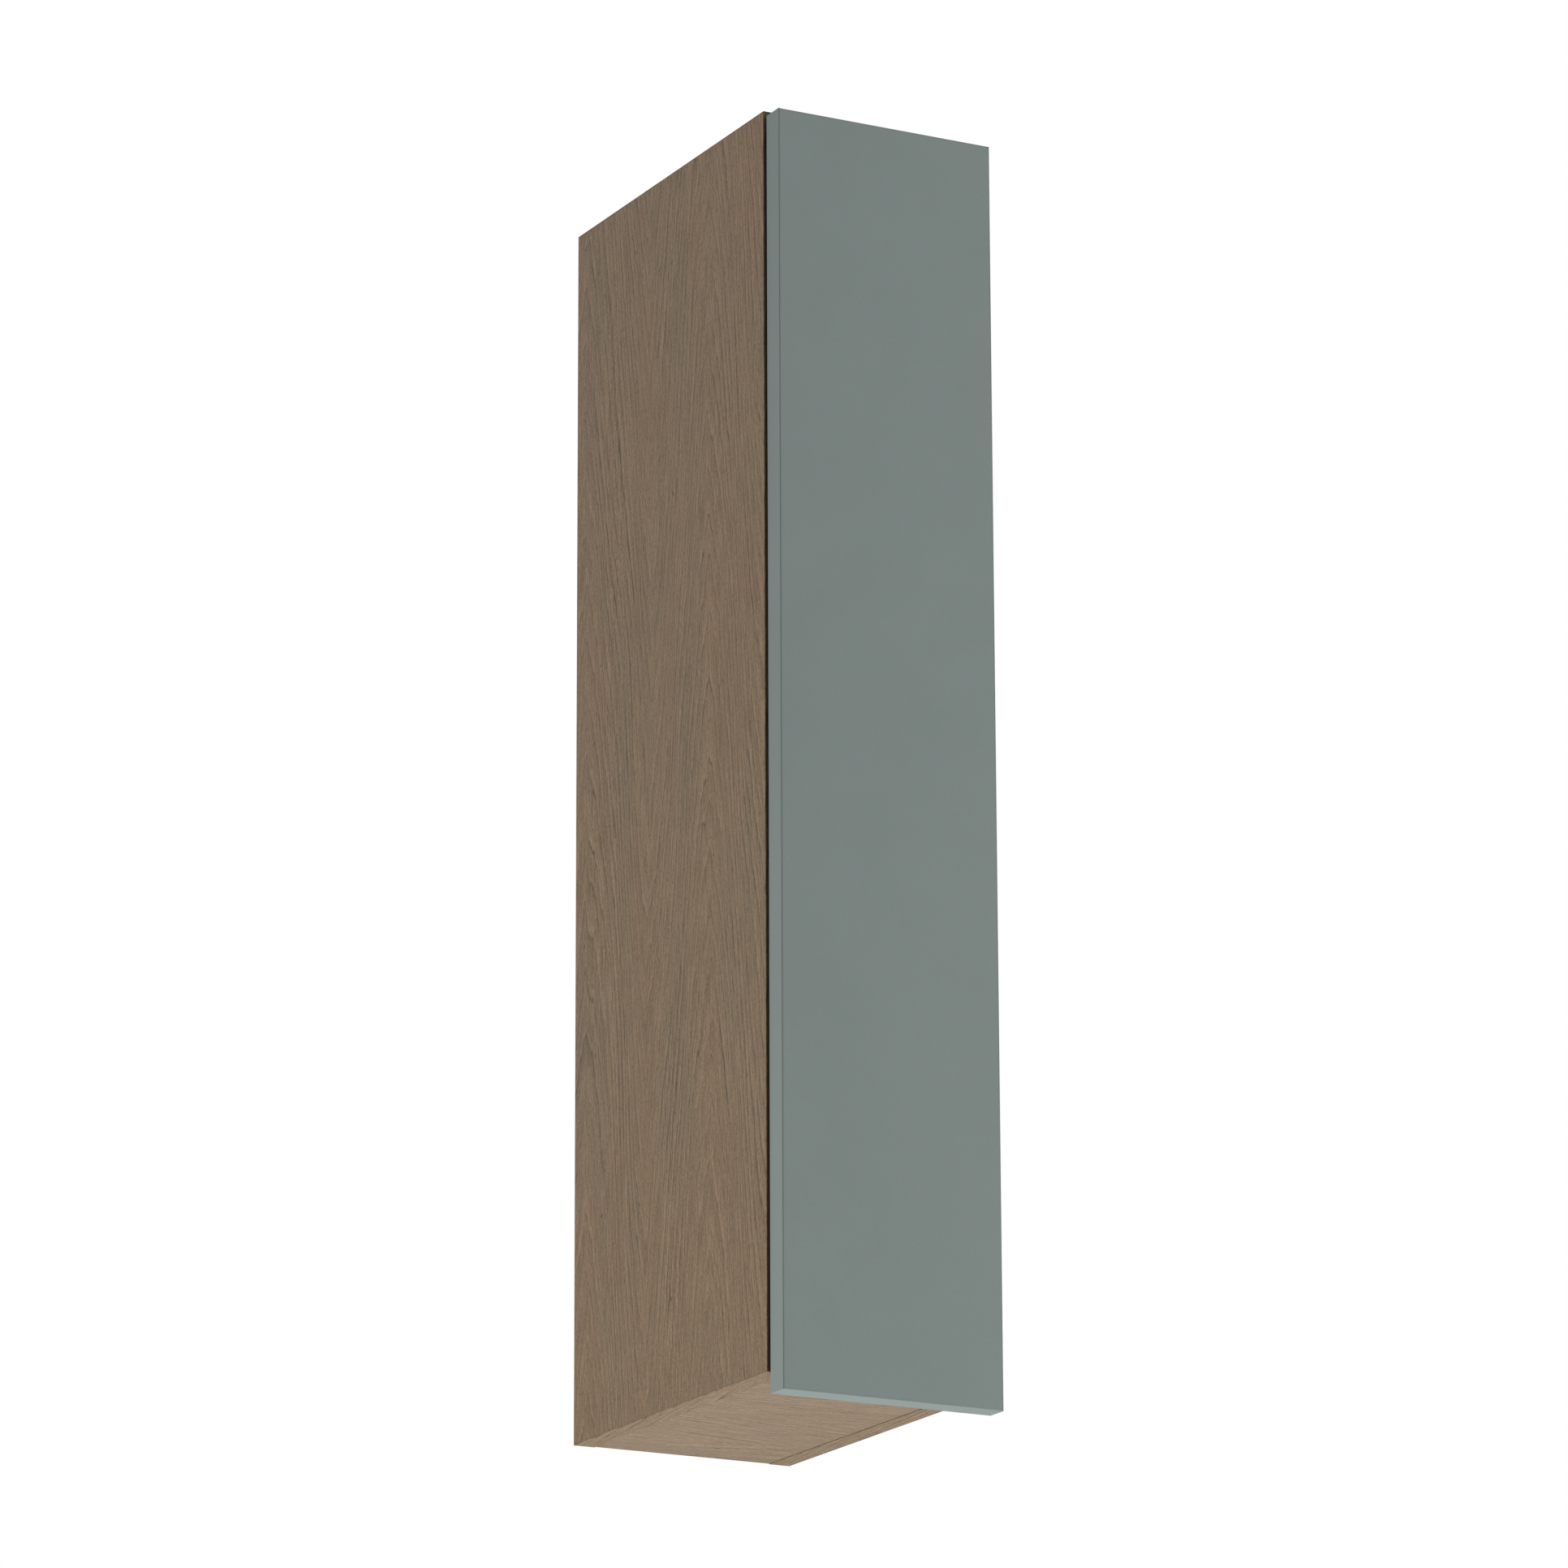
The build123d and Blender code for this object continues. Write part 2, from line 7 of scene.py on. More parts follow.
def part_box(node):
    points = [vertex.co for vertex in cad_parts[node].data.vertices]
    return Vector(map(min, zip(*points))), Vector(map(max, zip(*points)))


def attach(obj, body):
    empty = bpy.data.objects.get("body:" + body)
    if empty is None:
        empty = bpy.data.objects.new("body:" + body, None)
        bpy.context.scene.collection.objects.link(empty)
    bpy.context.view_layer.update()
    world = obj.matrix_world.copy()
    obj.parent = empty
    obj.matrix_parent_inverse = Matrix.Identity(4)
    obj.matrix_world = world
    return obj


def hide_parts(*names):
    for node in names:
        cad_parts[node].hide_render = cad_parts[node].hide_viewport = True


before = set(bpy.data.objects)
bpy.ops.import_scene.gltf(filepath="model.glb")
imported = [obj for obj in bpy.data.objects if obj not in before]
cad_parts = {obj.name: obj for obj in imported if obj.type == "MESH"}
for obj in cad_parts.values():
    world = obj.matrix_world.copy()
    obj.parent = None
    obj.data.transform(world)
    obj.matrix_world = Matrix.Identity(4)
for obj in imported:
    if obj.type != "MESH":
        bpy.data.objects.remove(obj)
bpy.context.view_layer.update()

scene = bpy.context.scene
scene.view_settings.view_transform = "Standard"
mm = 0.001


# Camera, on the photo's side: low, to the left, far away with a long lens
view = {
    "place": (-2859.5, -5566.3, -1205.2),  # mm, in the cabinet's frame
    "turn": -0.4883,       # radians, as are tilt and roll
    "tilt": 0.27723,
    "roll": -0.00379,
    "lens": 176.74,
    "sensor": 36.0,
    "clip": (0.1, 60.0),   # metres
}


def makeCamera(v):
    data = bpy.data.cameras.new("photoCamera")
    data.lens = v["lens"]
    data.sensor_width = v["sensor"]
    data.clip_start, data.clip_end = v["clip"]
    camera = bpy.data.objects.new("photoCamera", data)
    scene.collection.objects.link(camera)
    turned = Matrix.Rotation(v["turn"], 4, "Z") @ Matrix.Rotation(math.pi / 2 + v["tilt"], 4, "X")
    turned = turned @ Matrix.Rotation(v["roll"], 4, "Z")
    camera.matrix_world = Matrix.Translation(Vector(v["place"]) * mm) @ turned
    scene.camera = camera


makeCamera(view)
print("camera: placed")


# Small helpers for sizes, colours and nodes
def cornersOf(node):
    # lowest and highest corner of a CAD node at rest, in mm
    return [Vector(corner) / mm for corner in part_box(node)]


def linear(code):
    parts = [int(code[i:i + 2], 16) / 255 for i in (1, 3, 5)]
    return tuple(c / 12.92 if c <= 0.04045 else ((c + 0.055) / 1.055) ** 2.4 for c in parts) + (1.0,)


def addNode(tree, kind, settings=None, **links):
    # makes one node; a link's name is the socket's name, or in0, in1 for a socket by number
    made = tree.nodes.new(kind)
    for key, value in (settings or {}).items():
        setattr(made, key, value)
    for key, value in links.items():
        key = key.rstrip("_")
        socket = made.inputs[int(key[2:])] if key[:2] == "in" and key[2:].isdigit() else made.inputs[key]
        if isinstance(value, bpy.types.NodeSocket):
            tree.links.new(value, socket)
        else:
            socket.default_value = value
    return made


def followSteps(tree, steps, got, look=None):
    # adds a node for each step, a name, a kind and its terms; a term that is a name is that step's result
    for name, kind, *terms in steps:
        terms = [got.get(term, term) if isinstance(term, str) else term for term in terms]
        if kind == "spots":    # noise, from a place, a detail and a seed; its spots have the look's size
            source, detail, seed = terms
            width, length = look[name]
            fit = addNode(tree, "ShaderNodeMapping", Vector=source, Location=(seed, seed * 1.7, 0.0),
                          Scale=(1 / width, 1 / length, 1.0))
            made = addNode(tree, "ShaderNodeTexNoise", {"noise_dimensions": "2D"}, Vector=fit.outputs[0],
                           Scale=1.0, Detail=detail, Roughness=0.55)
        elif kind == "row":
            made = addNode(tree, "ShaderNodeTexNoise", {"noise_dimensions": "1D"}, W=terms[0],
                           Scale=terms[1], Detail=1.0)
        elif kind == "chance":
            made = addNode(tree, "ShaderNodeTexWhiteNoise", {"noise_dimensions": "1D"}, W=terms[0])
        elif kind == "pair":
            made = addNode(tree, "ShaderNodeCombineXYZ", X=terms[0], Y=terms[1])
        elif kind in ("spread", "smooth"):    # a stretch of values, laid over another stretch
            ease = {"interpolation_type": "SMOOTHSTEP" if kind == "smooth" else "LINEAR"}
            made = addNode(tree, "ShaderNodeMapRange", ease, Value=terms[0], in1=terms[1], in2=terms[2],
                           in3=terms[3], in4=terms[4])
        else:
            made = addNode(tree, "ShaderNodeMath", {"operation": kind},
                           **{f"in{number}": term for number, term in enumerate(terms)})
        got[name] = made.outputs[0]


def startMaterial(name, roughness, metallic=0.0, **constants):
    # a fresh material with its shader; constants go on the shader's own sockets
    made = bpy.data.materials.new(name)
    made.use_nodes = True
    tree = made.node_tree
    shader = tree.nodes["Principled BSDF"]
    shader.inputs["Roughness"].default_value = roughness
    shader.inputs["Metallic"].default_value = metallic
    for key, value in constants.items():
        shader.inputs[key.replace("_", " ")].default_value = value
    return made, tree, shader


# Lights and surroundings
studio = {
    "skyLight": 0.29,
    "floorDepth": -1500.0,
    "floorSize": 24000.0,
    "paper": "#f4f4f2",
    "whiteNear": 0.75,     # share of the backdrop's white in the floor below the cabinet
    "fadeFrom": 1200.0,    # mm from the middle; from here on the floor turns into the backdrop
    "fadeTo": 5200.0,
    "aim": (0, -170, 500),
    "lamps": {
        "lampLeft": {"place": (-2800, -600, 300), "size": 2000, "power": 13},
        "lampRight": {"place": (2600, -1500, 500), "size": 1600, "power": 47},
        "lampAbove": {"place": (0, -1200, 3000), "size": 2200, "power": 18},
        "lampUnder": {"place": (0, -200, -1450), "size": 3600, "power": 40},
        "lampUnderLeft": {"place": (-1500, -300, -1400), "size": 1600, "power": 18},
    },
}


def makeStudio(s):
    world = bpy.data.worlds.new("paleRoom")
    scene.world = world
    world.use_nodes = True
    tree = world.node_tree
    sky = tree.nodes["Background"]
    sky.inputs["Color"].default_value = (1, 1, 1, 1)
    sky.inputs["Strength"].default_value = s["skyLight"]
    backdrop = addNode(tree, "ShaderNodeBackground", Color=(1, 1, 1, 1), Strength=1.0)
    path = addNode(tree, "ShaderNodeLightPath")
    seen = addNode(tree, "ShaderNodeMath", {"operation": "MAXIMUM"}, in0=path.outputs["Is Camera Ray"],
                   in1=path.outputs["Is Transmission Ray"])
    seen = addNode(tree, "ShaderNodeMath", {"operation": "MAXIMUM"}, in0=seen.outputs[0],
                   in1=path.outputs["Is Glossy Ray"])
    mixed = addNode(tree, "ShaderNodeMixShader", in0=seen.outputs[0], in1=sky.outputs[0],
                    in2=backdrop.outputs[0])
    tree.links.new(mixed.outputs[0], tree.nodes["World Output"].inputs["Surface"])

    # floor: pale paper that stays white to the camera and still darkens under the cabinet
    half = s["floorSize"] / 2 * mm
    mesh = bpy.data.meshes.new("floor")
    low = s["floorDepth"] * mm
    corners = [(-half, -half, low), (half, -half, low), (half, half, low), (-half, half, low)]
    mesh.from_pydata(corners, [], [(0, 1, 2, 3)])
    floor = bpy.data.objects.new("floor", mesh)
    scene.collection.objects.link(floor)
    paper, tree, shader = startMaterial("palePaper", 0.9)
    shader.inputs["Base Color"].default_value = linear(s["paper"])
    glow = addNode(tree, "ShaderNodeEmission", Color=(1, 1, 1, 1), Strength=1.0)
    clear = addNode(tree, "ShaderNodeBsdfTransparent")
    path = addNode(tree, "ShaderNodeLightPath")
    place = addNode(tree, "ShaderNodeTexCoord")
    flat = addNode(tree, "ShaderNodeMapping", Vector=place.outputs["Object"], Scale=(1, 1, 0))
    far = addNode(tree, "ShaderNodeVectorMath", {"operation": "LENGTH"}, in0=flat.outputs[0])
    white = addNode(tree, "ShaderNodeMapRange", {"interpolation_type": "SMOOTHSTEP"},
                    Value=far.outputs["Value"], in1=s["fadeFrom"] * mm, in2=s["fadeTo"] * mm,
                    in3=s["whiteNear"], in4=1.0)
    share = addNode(tree, "ShaderNodeMath", {"operation": "MULTIPLY"}, in0=path.outputs["Is Camera Ray"],
                    in1=white.outputs[0])
    mixed = addNode(tree, "ShaderNodeMixShader", in0=share.outputs[0], in1=shader.outputs[0],
                    in2=glow.outputs[0])
    side = addNode(tree, "ShaderNodeNewGeometry")
    twoSided = addNode(tree, "ShaderNodeMixShader", in0=side.outputs["Backfacing"], in1=mixed.outputs[0],
                       in2=clear.outputs[0])
    tree.links.new(twoSided.outputs[0], tree.nodes["Material Output"].inputs["Surface"])
    mesh.materials.append(paper)

    for name, lamp in s["lamps"].items():
        data = bpy.data.lights.new(name, "AREA")
        data.shape = "SQUARE"
        data.size = lamp["size"] * mm
        data.energy = lamp["power"]
        made = bpy.data.objects.new(name, data)
        scene.collection.objects.link(made)
        place = Vector(lamp["place"]) * mm
        ray = Vector(s["aim"]) * mm - place
        turned = ray.to_track_quat("-Z", "Y").to_matrix().to_4x4()
        made.matrix_world = Matrix.Translation(place) @ turned
        made.visible_camera = False


makeStudio(studio)
print("studio: floor, backdrop and", len(studio["lamps"]), "lamps")


# Oak decor: printed paper under a matt resin, so the eye gets grain with hardly any relief
# a pair of numbers is the mm across and along the grain of the spots of a noise
woodLook = {
    "pale": "#987f61",
    "dark": "#6c563c",
    "deep": "#32281d",
    "warm": "#7e5d44",
    "grey": "#695d47",
    "archSpan": 222.0,     # mm from one figure to the next that points the same way
    "archHeight": 318.0,   # mm that a ring rises and falls along the grain
    "archPoint": 0.57,     # 0 for straight-sided points, 1 for round ones
    "ringRise": 46.0,      # mm between rings at a figure's tip
    "ringUneven": 170.0,   # mm of arch over which wide rings give way to narrow ones
    "ringWidth": 0.95,     # mm, half of a ring's dark line, wider than life so that it shows
    "ringLean": 1.8,       # rings that a wide or a narrow stretch shifts the others by
    "wander": 42.0,        # mm that the figures drift sideways
    "wobble": 48.0,        # mm that a ring is pushed along the grain
    "drift": (110.0, 620.0),    # moves the figures
    "push": (16.0, 150.0),      # moves the rings
    "fade": (26.0, 190.0),      # where a ring's line fades
    "broken": (2.4, 17.0),      # where it breaks up
    "fibre": (15.0, 190.0),     # mm of arch and of grain, because fibres follow the rings
    "thread": (1.35, 34.0),     # real ones are finer than the render can show
    "pore": (1.3, 5.0),         # coarser than life for the same reason
    "fleck": (1.3, 2.2),        # the print's own mottle, as coarse as it needs to show
    "band": (11.0, 420.0),      # pale and dark stripes
    "patch": (30.0, 300.0),     # reddish and greyish wood
    "knotGap": (75.0, 190.0),   # a cell that has one small knot or none
    "knotRadius": 0.014,        # of that cell
    "knotless": 0.55,           # share of the cells that have none
    "climb": 0.14,              # how much the tone climbs through a ring's year
    "tones": {"band": 0.12, "fibre": 0.34, "thread": 0.40, "fleck": 0.45, "light": 0.60},
    "relief": 0.16,             # mm, of the pressed pores
}
chipLook = {
    "pale": "#c9ad86",
    "middle": "#ad8d66",
    "dark": "#84684a",
    "ramp": (0.88, 0.45, 0.12),   # where pale, middle and dark lie in the flakes' tones
    "flake": 1.3,          # mm across a flake; the middle layer of a real board has 0.5 to 3
    "fine": 0.45,          # size of the small flakes, as a share of that
    "stretch": 2.2,        # flakes lie flat in the board, so they look long from its edge
    "push": 1.6,           # mm that flakes are pushed out of line
    "roughness": 0.9,
}


def decorColour(tree, along, shift, look):
    # colour, roughness and relief of the oak print, whose grain runs along one axis; all lengths in mm
    place = addNode(tree, "ShaderNodeTexCoord")
    big = addNode(tree, "ShaderNodeMapping", Vector=place.outputs["Object"], Location=tuple(shift),
                  Scale=(1000, 1000, 1000))
    axes = addNode(tree, "ShaderNodeSeparateXYZ", Vector=big.outputs[0])
    across = [axes.outputs[n] for n in range(3) if n != along]
    span, point, width = look["archSpan"], look["archPoint"], look["ringWidth"]
    steep = 4 * look["archHeight"] / span
    got = {"w": axes.outputs[along]}
    followSteps(tree, (
        ("u", "ADD", across[0], across[1]),
        ("flat", "pair", "u", "w"),
        # arches point up and down in turn, and grow steeper away from their tips
        ("drift", "spots", "flat", 1.0, 3.1),
        ("drift", "SUBTRACT", "drift", 0.5),
        ("bend", "MULTIPLY_ADD", "drift", look["wander"], "u"),
        ("side", "PINGPONG", "bend", span / 2),
        ("side", "DIVIDE", "side", span / 4),
        ("side", "SUBTRACT", "side", 1.0),
        ("far", "ABSOLUTE", "side"),
        ("rise", "MULTIPLY_ADD", "far", -point * look["archHeight"], (1 + point) * look["archHeight"]),
        ("rise", "MULTIPLY_ADD", "rise", "side", "w"),
        ("push", "spots", "flat", 2.0, 7.7),
        ("push", "SUBTRACT", "push", 0.5),
        ("arch", "MULTIPLY_ADD", "push", look["wobble"], "rise"),
        # rings lie at steady steps of the arch, some years wider than others
        ("lean", "row", "arch", 1 / look["ringUneven"]),
        ("ring", "DIVIDE", "arch", look["ringRise"]),
        ("ring", "MULTIPLY_ADD", "lean", look["ringLean"], "ring"),
        ("slope", "MULTIPLY_ADD", "far", -2 * point * steep, (1 + point) * steep),
        ("step", "FRACT", "ring"),
        ("gap", "SUBTRACT", "step", 0.5),
        ("gap", "MULTIPLY", "gap", look["ringRise"]),
        ("gap", "DIVIDE", "gap", "slope"),
        ("line", "ABSOLUTE", "gap"),
        ("line", "smooth", "line", 0.0, width, 1.0, 0.0),
        # painted highlight: a pale strip beside each ring's line, as if its pressed relief caught the light
        ("light", "SUBTRACT", "gap", 2 * width),
        ("light", "ABSOLUTE", "light"),
        ("light", "smooth", "light", 0.0, 1.2 * width, 1.0, 0.0),
        # each ring has its own strength, fades in and out, and breaks up
        ("year", "FLOOR", "ring"),
        ("year", "chance", "year"),
        ("strong", "spread", "year", 0.0, 1.0, 0.5, 1.0),
        ("fade", "spots", "flat", 2.0, 11.3),
        ("fade", "spread", "fade", 0.36, 0.58, 0.35, 1.0),
        ("broken", "spots", "flat", 1.0, 13.9),
        ("broken", "spread", "broken", 0.36, 0.54, 0.3, 1.0),
        ("fade", "MULTIPLY", "fade", "broken"),
        ("strong", "MULTIPLY", "strong", "fade"),
        ("line", "MULTIPLY", "line", "strong"),
        ("light", "MULTIPLY", "light", "strong"),
        # fibres follow the rings; pores, bands and patches run with the tree and swing a little
        ("arched", "pair", "arch", "w"),
        ("swung", "pair", "bend", "w"),
        ("fibre", "spots", "arched", 2.0, 1.0),
        ("fibre", "spread", "fibre", 0.34, 0.66, 0.0, 1.0),
        ("thread", "spots", "swung", 1.0, 17.0),
        ("thread", "spread", "thread", 0.33, 0.67, 0.0, 1.0),
        ("pore", "spots", "swung", 1.0, 5.0),
        ("pore", "spread", "pore", 0.42, 0.75, 0.0, 1.0),
        ("fleck", "spots", "swung", 0.0, 31.0),
        ("fleck", "spread", "fleck", 0.2, 0.8, -0.5, 0.5),
        ("band", "spots", "swung", 2.0, 21.0),
        ("band", "spread", "band", 0.35, 0.65, 0.0, 1.0),
        ("patch", "spots", "swung", 2.0, 9.0),
        # the tone climbs through each ring's year, and a painted highlight makes the wood just beside a
        # ring's line palest
        ("tone", "SUBTRACT", 0.5, "step"),
        ("tone", "FRACT", "tone"),
        ("tone", "MULTIPLY", "tone", look["climb"]),
        *[("tone", "MULTIPLY_ADD", layer, share, "tone") for layer, share in look["tones"].items()],
        ("warm", "spread", "patch", 0.30, 0.50, 0.20, 0.0),
        ("grey", "spread", "patch", 0.50, 0.70, 0.0, 0.25),
        ("dot", "MULTIPLY", "pore", 0.36),
        ("rough", "spread", "thread", 0.0, 1.0, 0.66, 0.56),
        ("cuts", "ADD", "pore", "line"),
        ("relief", "MULTIPLY", "thread", 0.6),
        ("relief", "SUBTRACT", "relief", "cuts"),
    ), got, look)

    # small knots, in about half of the cells
    cell = addNode(tree, "ShaderNodeMapping", Vector=got["swung"],
                   Scale=(1 / look["knotGap"][0], 1 / look["knotGap"][1], 1.0))
    knots = addNode(tree, "ShaderNodeTexVoronoi", {"voronoi_dimensions": "2D"}, Vector=cell.outputs[0],
                    Scale=1.0)
    spot = addNode(tree, "ShaderNodeMapRange", Value=knots.outputs["Distance"], in1=look["knotRadius"] * 0.5,
                   in2=look["knotRadius"], in3=1.0, in4=0.0)
    kept = addNode(tree, "ShaderNodeSeparateXYZ", Vector=knots.outputs["Color"])
    kept = addNode(tree, "ShaderNodeMath", {"operation": "GREATER_THAN"}, in0=kept.outputs[0],
                   in1=look["knotless"])
    got["knot"] = addNode(tree, "ShaderNodeMath", {"operation": "MULTIPLY"}, in0=spot.outputs[0],
                          in1=kept.outputs[0]).outputs[0]

    colour = addNode(tree, "ShaderNodeMix", {"data_type": "RGBA"}, in0=got["tone"],
                     in6=linear(look["dark"]), in7=linear(look["pale"])).outputs[2]
    for share, tint in (("warm", "warm"), ("grey", "grey"), ("dot", "deep"), ("line", "deep"),
                        ("knot", "deep")):
        colour = addNode(tree, "ShaderNodeMix", {"data_type": "RGBA"}, in0=got[share], in6=colour,
                         in7=linear(look[tint])).outputs[2]
    return colour, got["rough"], got["relief"]


def chipColour(tree, look):
    # raw particle board: flakes of many browns pressed together, with small open gaps
    place = addNode(tree, "ShaderNodeTexCoord")
    big = addNode(tree, "ShaderNodeMapping", Vector=place.outputs["Object"], Scale=(1000, 1000, 1000))
    push = addNode(tree, "ShaderNodeTexNoise", Vector=big.outputs[0], Scale=0.9, Detail=2.0)
    moved = addNode(tree, "ShaderNodeVectorMath", {"operation": "MULTIPLY_ADD"}, in0=push.outputs["Color"],
                    in1=[look["push"]] * 3, in2=big.outputs[0])
    layers = []
    for size, turn in ((look["flake"], 0.4), (look["fine"] * look["flake"], -0.9)):
        lain = addNode(tree, "ShaderNodeMapping", Vector=moved.outputs[0], Rotation=(turn, -turn, 2 * turn),
                       Scale=(1 / size, 1 / size / look["stretch"], 1 / size / look["stretch"]))
        layers.append(addNode(tree, "ShaderNodeTexVoronoi", Vector=lain.outputs[0], Scale=1.0))
    tones = addNode(tree, "ShaderNodeMix", {"data_type": "RGBA"}, in0=0.4, in6=layers[0].outputs["Color"],
                    in7=layers[1].outputs["Color"])
    level = addNode(tree, "ShaderNodeSeparateXYZ", in0=tones.outputs[2])
    flakes = addNode(tree, "ShaderNodeValToRGB", Fac=level.outputs[0])
    pale, middle, dark = look["ramp"]
    stops = flakes.color_ramp.elements
    stops[0].position = dark
    stops[0].color = linear(look["dark"])
    stops[1].position = pale
    stops[1].color = linear(look["pale"])
    stops.new(middle).color = linear(look["middle"])
    return flakes.outputs[0], layers[0].outputs["Distance"]


leastLight = 0.25   # share of its colour that a finish keeps in the tightest joint


def paintJointShade(tree, colour, strength, reach):
    # painted shade in joints: the colour darkens where another surface is within reach, in mm, standing in
    # for the shadow there
    room = addNode(tree, "ShaderNodeAmbientOcclusion", {"samples": 8}, Distance=reach * mm)
    shadeShare = addNode(tree, "ShaderNodeMath", {"operation": "POWER"}, in0=room.outputs["AO"], in1=strength)
    shadeShare = addNode(tree, "ShaderNodeMath", {"operation": "MAXIMUM"}, in0=shadeShare.outputs[0],
                   in1=leastLight)
    return addNode(tree, "ShaderNodeVectorMath", {"operation": "SCALE"}, in0=colour,
                   Scale=shadeShare.outputs[0]).outputs[0]


def woodDecor(name, along, shift, decorAxis=None, shade=1.0, gloss=0.5, joints=None):
    # decorAxis is the direction that a board's printed faces look in; its other faces are raw chipboard,
    # and a band has none; the last argument is a strength and a reach in mm for the painted shade in joints
    made, tree, shader = startMaterial(name, 0.6, Specular_IOR_Level=gloss)
    colour, rough, relief = decorColour(tree, along, shift, woodLook)
    if decorAxis is not None:
        raw, gaps = chipColour(tree, chipLook)
        place = addNode(tree, "ShaderNodeTexCoord")
        facing = addNode(tree, "ShaderNodeSeparateXYZ", Vector=place.outputs["Normal"])
        size = addNode(tree, "ShaderNodeMath", {"operation": "ABSOLUTE"}, in0=facing.outputs[decorAxis])
        bare = addNode(tree, "ShaderNodeMath", {"operation": "LESS_THAN"}, in0=size.outputs[0],
                       in1=0.5).outputs[0]
        colour = addNode(tree, "ShaderNodeMix", {"data_type": "RGBA"}, in0=bare, in6=colour,
                         in7=raw).outputs[2]
        rough = addNode(tree, "ShaderNodeMix", in0=bare, in2=rough, in3=chipLook["roughness"]).outputs[0]
        relief = addNode(tree, "ShaderNodeMix", in0=bare, in2=relief, in3=gaps).outputs[0]
    # painted shade: the colour is darkened by this share
    if shade < 1.0:
        colour = addNode(tree, "ShaderNodeVectorMath", {"operation": "SCALE"}, in0=colour,
                         Scale=shade).outputs[0]
    # painted shade in the joints, where another surface is near
    if joints:
        colour = paintJointShade(tree, colour, *joints)
    tree.links.new(colour, shader.inputs["Base Color"])
    tree.links.new(rough, shader.inputs["Roughness"])
    bump = addNode(tree, "ShaderNodeBump", Strength=0.8, Distance=woodLook["relief"] * mm, Height=relief)
    tree.links.new(bump.outputs[0], shader.inputs["Normal"])
    return made


laminateLook = {
    "roughness": 0.62,
    "clouds": 14.0,    # per metre, in the colour
    "specks": 1400.0,  # per metre, the grit of the press plate
    "grit": 0.02,      # mm that it stands up
}


def mattLaminate(name, codes, roundEdgeDarkening=0.0):
    # matt laminate in sage grey: a dead-flat resin skin, so edges show only as a change of shade
    # the last argument is how much darker the colour is on the round edges between the flats
    made, tree, shader = startMaterial(name, laminateLook["roughness"])
    place = addNode(tree, "ShaderNodeTexCoord")
    cloud = addNode(tree, "ShaderNodeTexNoise", Vector=place.outputs["Object"],
                    Scale=laminateLook["clouds"], Detail=2.0)
    speck = addNode(tree, "ShaderNodeTexNoise", Vector=place.outputs["Object"],
                    Scale=laminateLook["specks"], Detail=1.0)
    both = addNode(tree, "ShaderNodeMath", {"operation": "MULTIPLY_ADD"}, in0=cloud.outputs[0], in1=0.6,
                   in2=speck.outputs[0]).outputs[0]
    share = addNode(tree, "ShaderNodeMapRange", Value=both, in1=0.55, in2=1.05, in3=0.0, in4=1.0).outputs[0]
    colour = addNode(tree, "ShaderNodeMix", {"data_type": "RGBA"}, in0=share, in6=linear(codes[0]),
                     in7=linear(codes[1])).outputs[2]
    if roundEdgeDarkening > 0.0:
        # the product of x and y is 0 on the flats and 0.5 in the middle of a round edge
        facing = addNode(tree, "ShaderNodeSeparateXYZ", Vector=place.outputs["Normal"])
        corner = addNode(tree, "ShaderNodeMath", {"operation": "MULTIPLY"}, in0=facing.outputs[0],
                         in1=facing.outputs[1])
        corner = addNode(tree, "ShaderNodeMath", {"operation": "ABSOLUTE"}, in0=corner.outputs[0])
        shade = addNode(tree, "ShaderNodeMapRange", Value=corner.outputs[0], in1=0.04, in2=0.3, in3=1.0,
                        in4=1.0 - roundEdgeDarkening)
        colour = addNode(tree, "ShaderNodeVectorMath", {"operation": "SCALE"}, in0=colour,
                         Scale=shade.outputs[0]).outputs[0]
    tree.links.new(colour, shader.inputs["Base Color"])
    bump = addNode(tree, "ShaderNodeBump", Strength=0.25, Distance=laminateLook["grit"] * mm,
                   Height=speck.outputs[0])
    tree.links.new(bump.outputs[0], shader.inputs["Normal"])
    return made


fittingLook = {
    "clouds": 60.0,    # per metre, in the colour
    "plating": 0.004,  # mm that the plating's grit stands up
    "grain": 0.02,     # mm that the plastic's grain stands up
}


def mottledMetal(name, codes, roughness, spread, grit):
    # plated pressed steel: bright, with faint clouds in the plating and a grit in its gloss, in mm
    made, tree, shader = startMaterial(name, roughness, 1.0)
    place = addNode(tree, "ShaderNodeTexCoord")
    cloud = addNode(tree, "ShaderNodeTexNoise", Vector=place.outputs["Object"],
                    Scale=fittingLook["clouds"], Detail=1.0)
    fine = addNode(tree, "ShaderNodeTexNoise", Vector=place.outputs["Object"], Scale=1000 / grit, Detail=2.0)
    colour = addNode(tree, "ShaderNodeMix", {"data_type": "RGBA"}, in0=cloud.outputs[0],
                     in6=linear(codes[0]), in7=linear(codes[1]))
    tree.links.new(colour.outputs[2], shader.inputs["Base Color"])
    rough = addNode(tree, "ShaderNodeMapRange", Value=fine.outputs[0], in1=0.3, in2=0.7,
                    in3=roughness - spread, in4=roughness + spread)
    tree.links.new(rough.outputs[0], shader.inputs["Roughness"])
    bump = addNode(tree, "ShaderNodeBump", Strength=0.1, Distance=fittingLook["plating"] * mm,
                   Height=fine.outputs[0])
    tree.links.new(bump.outputs[0], shader.inputs["Normal"])
    return made


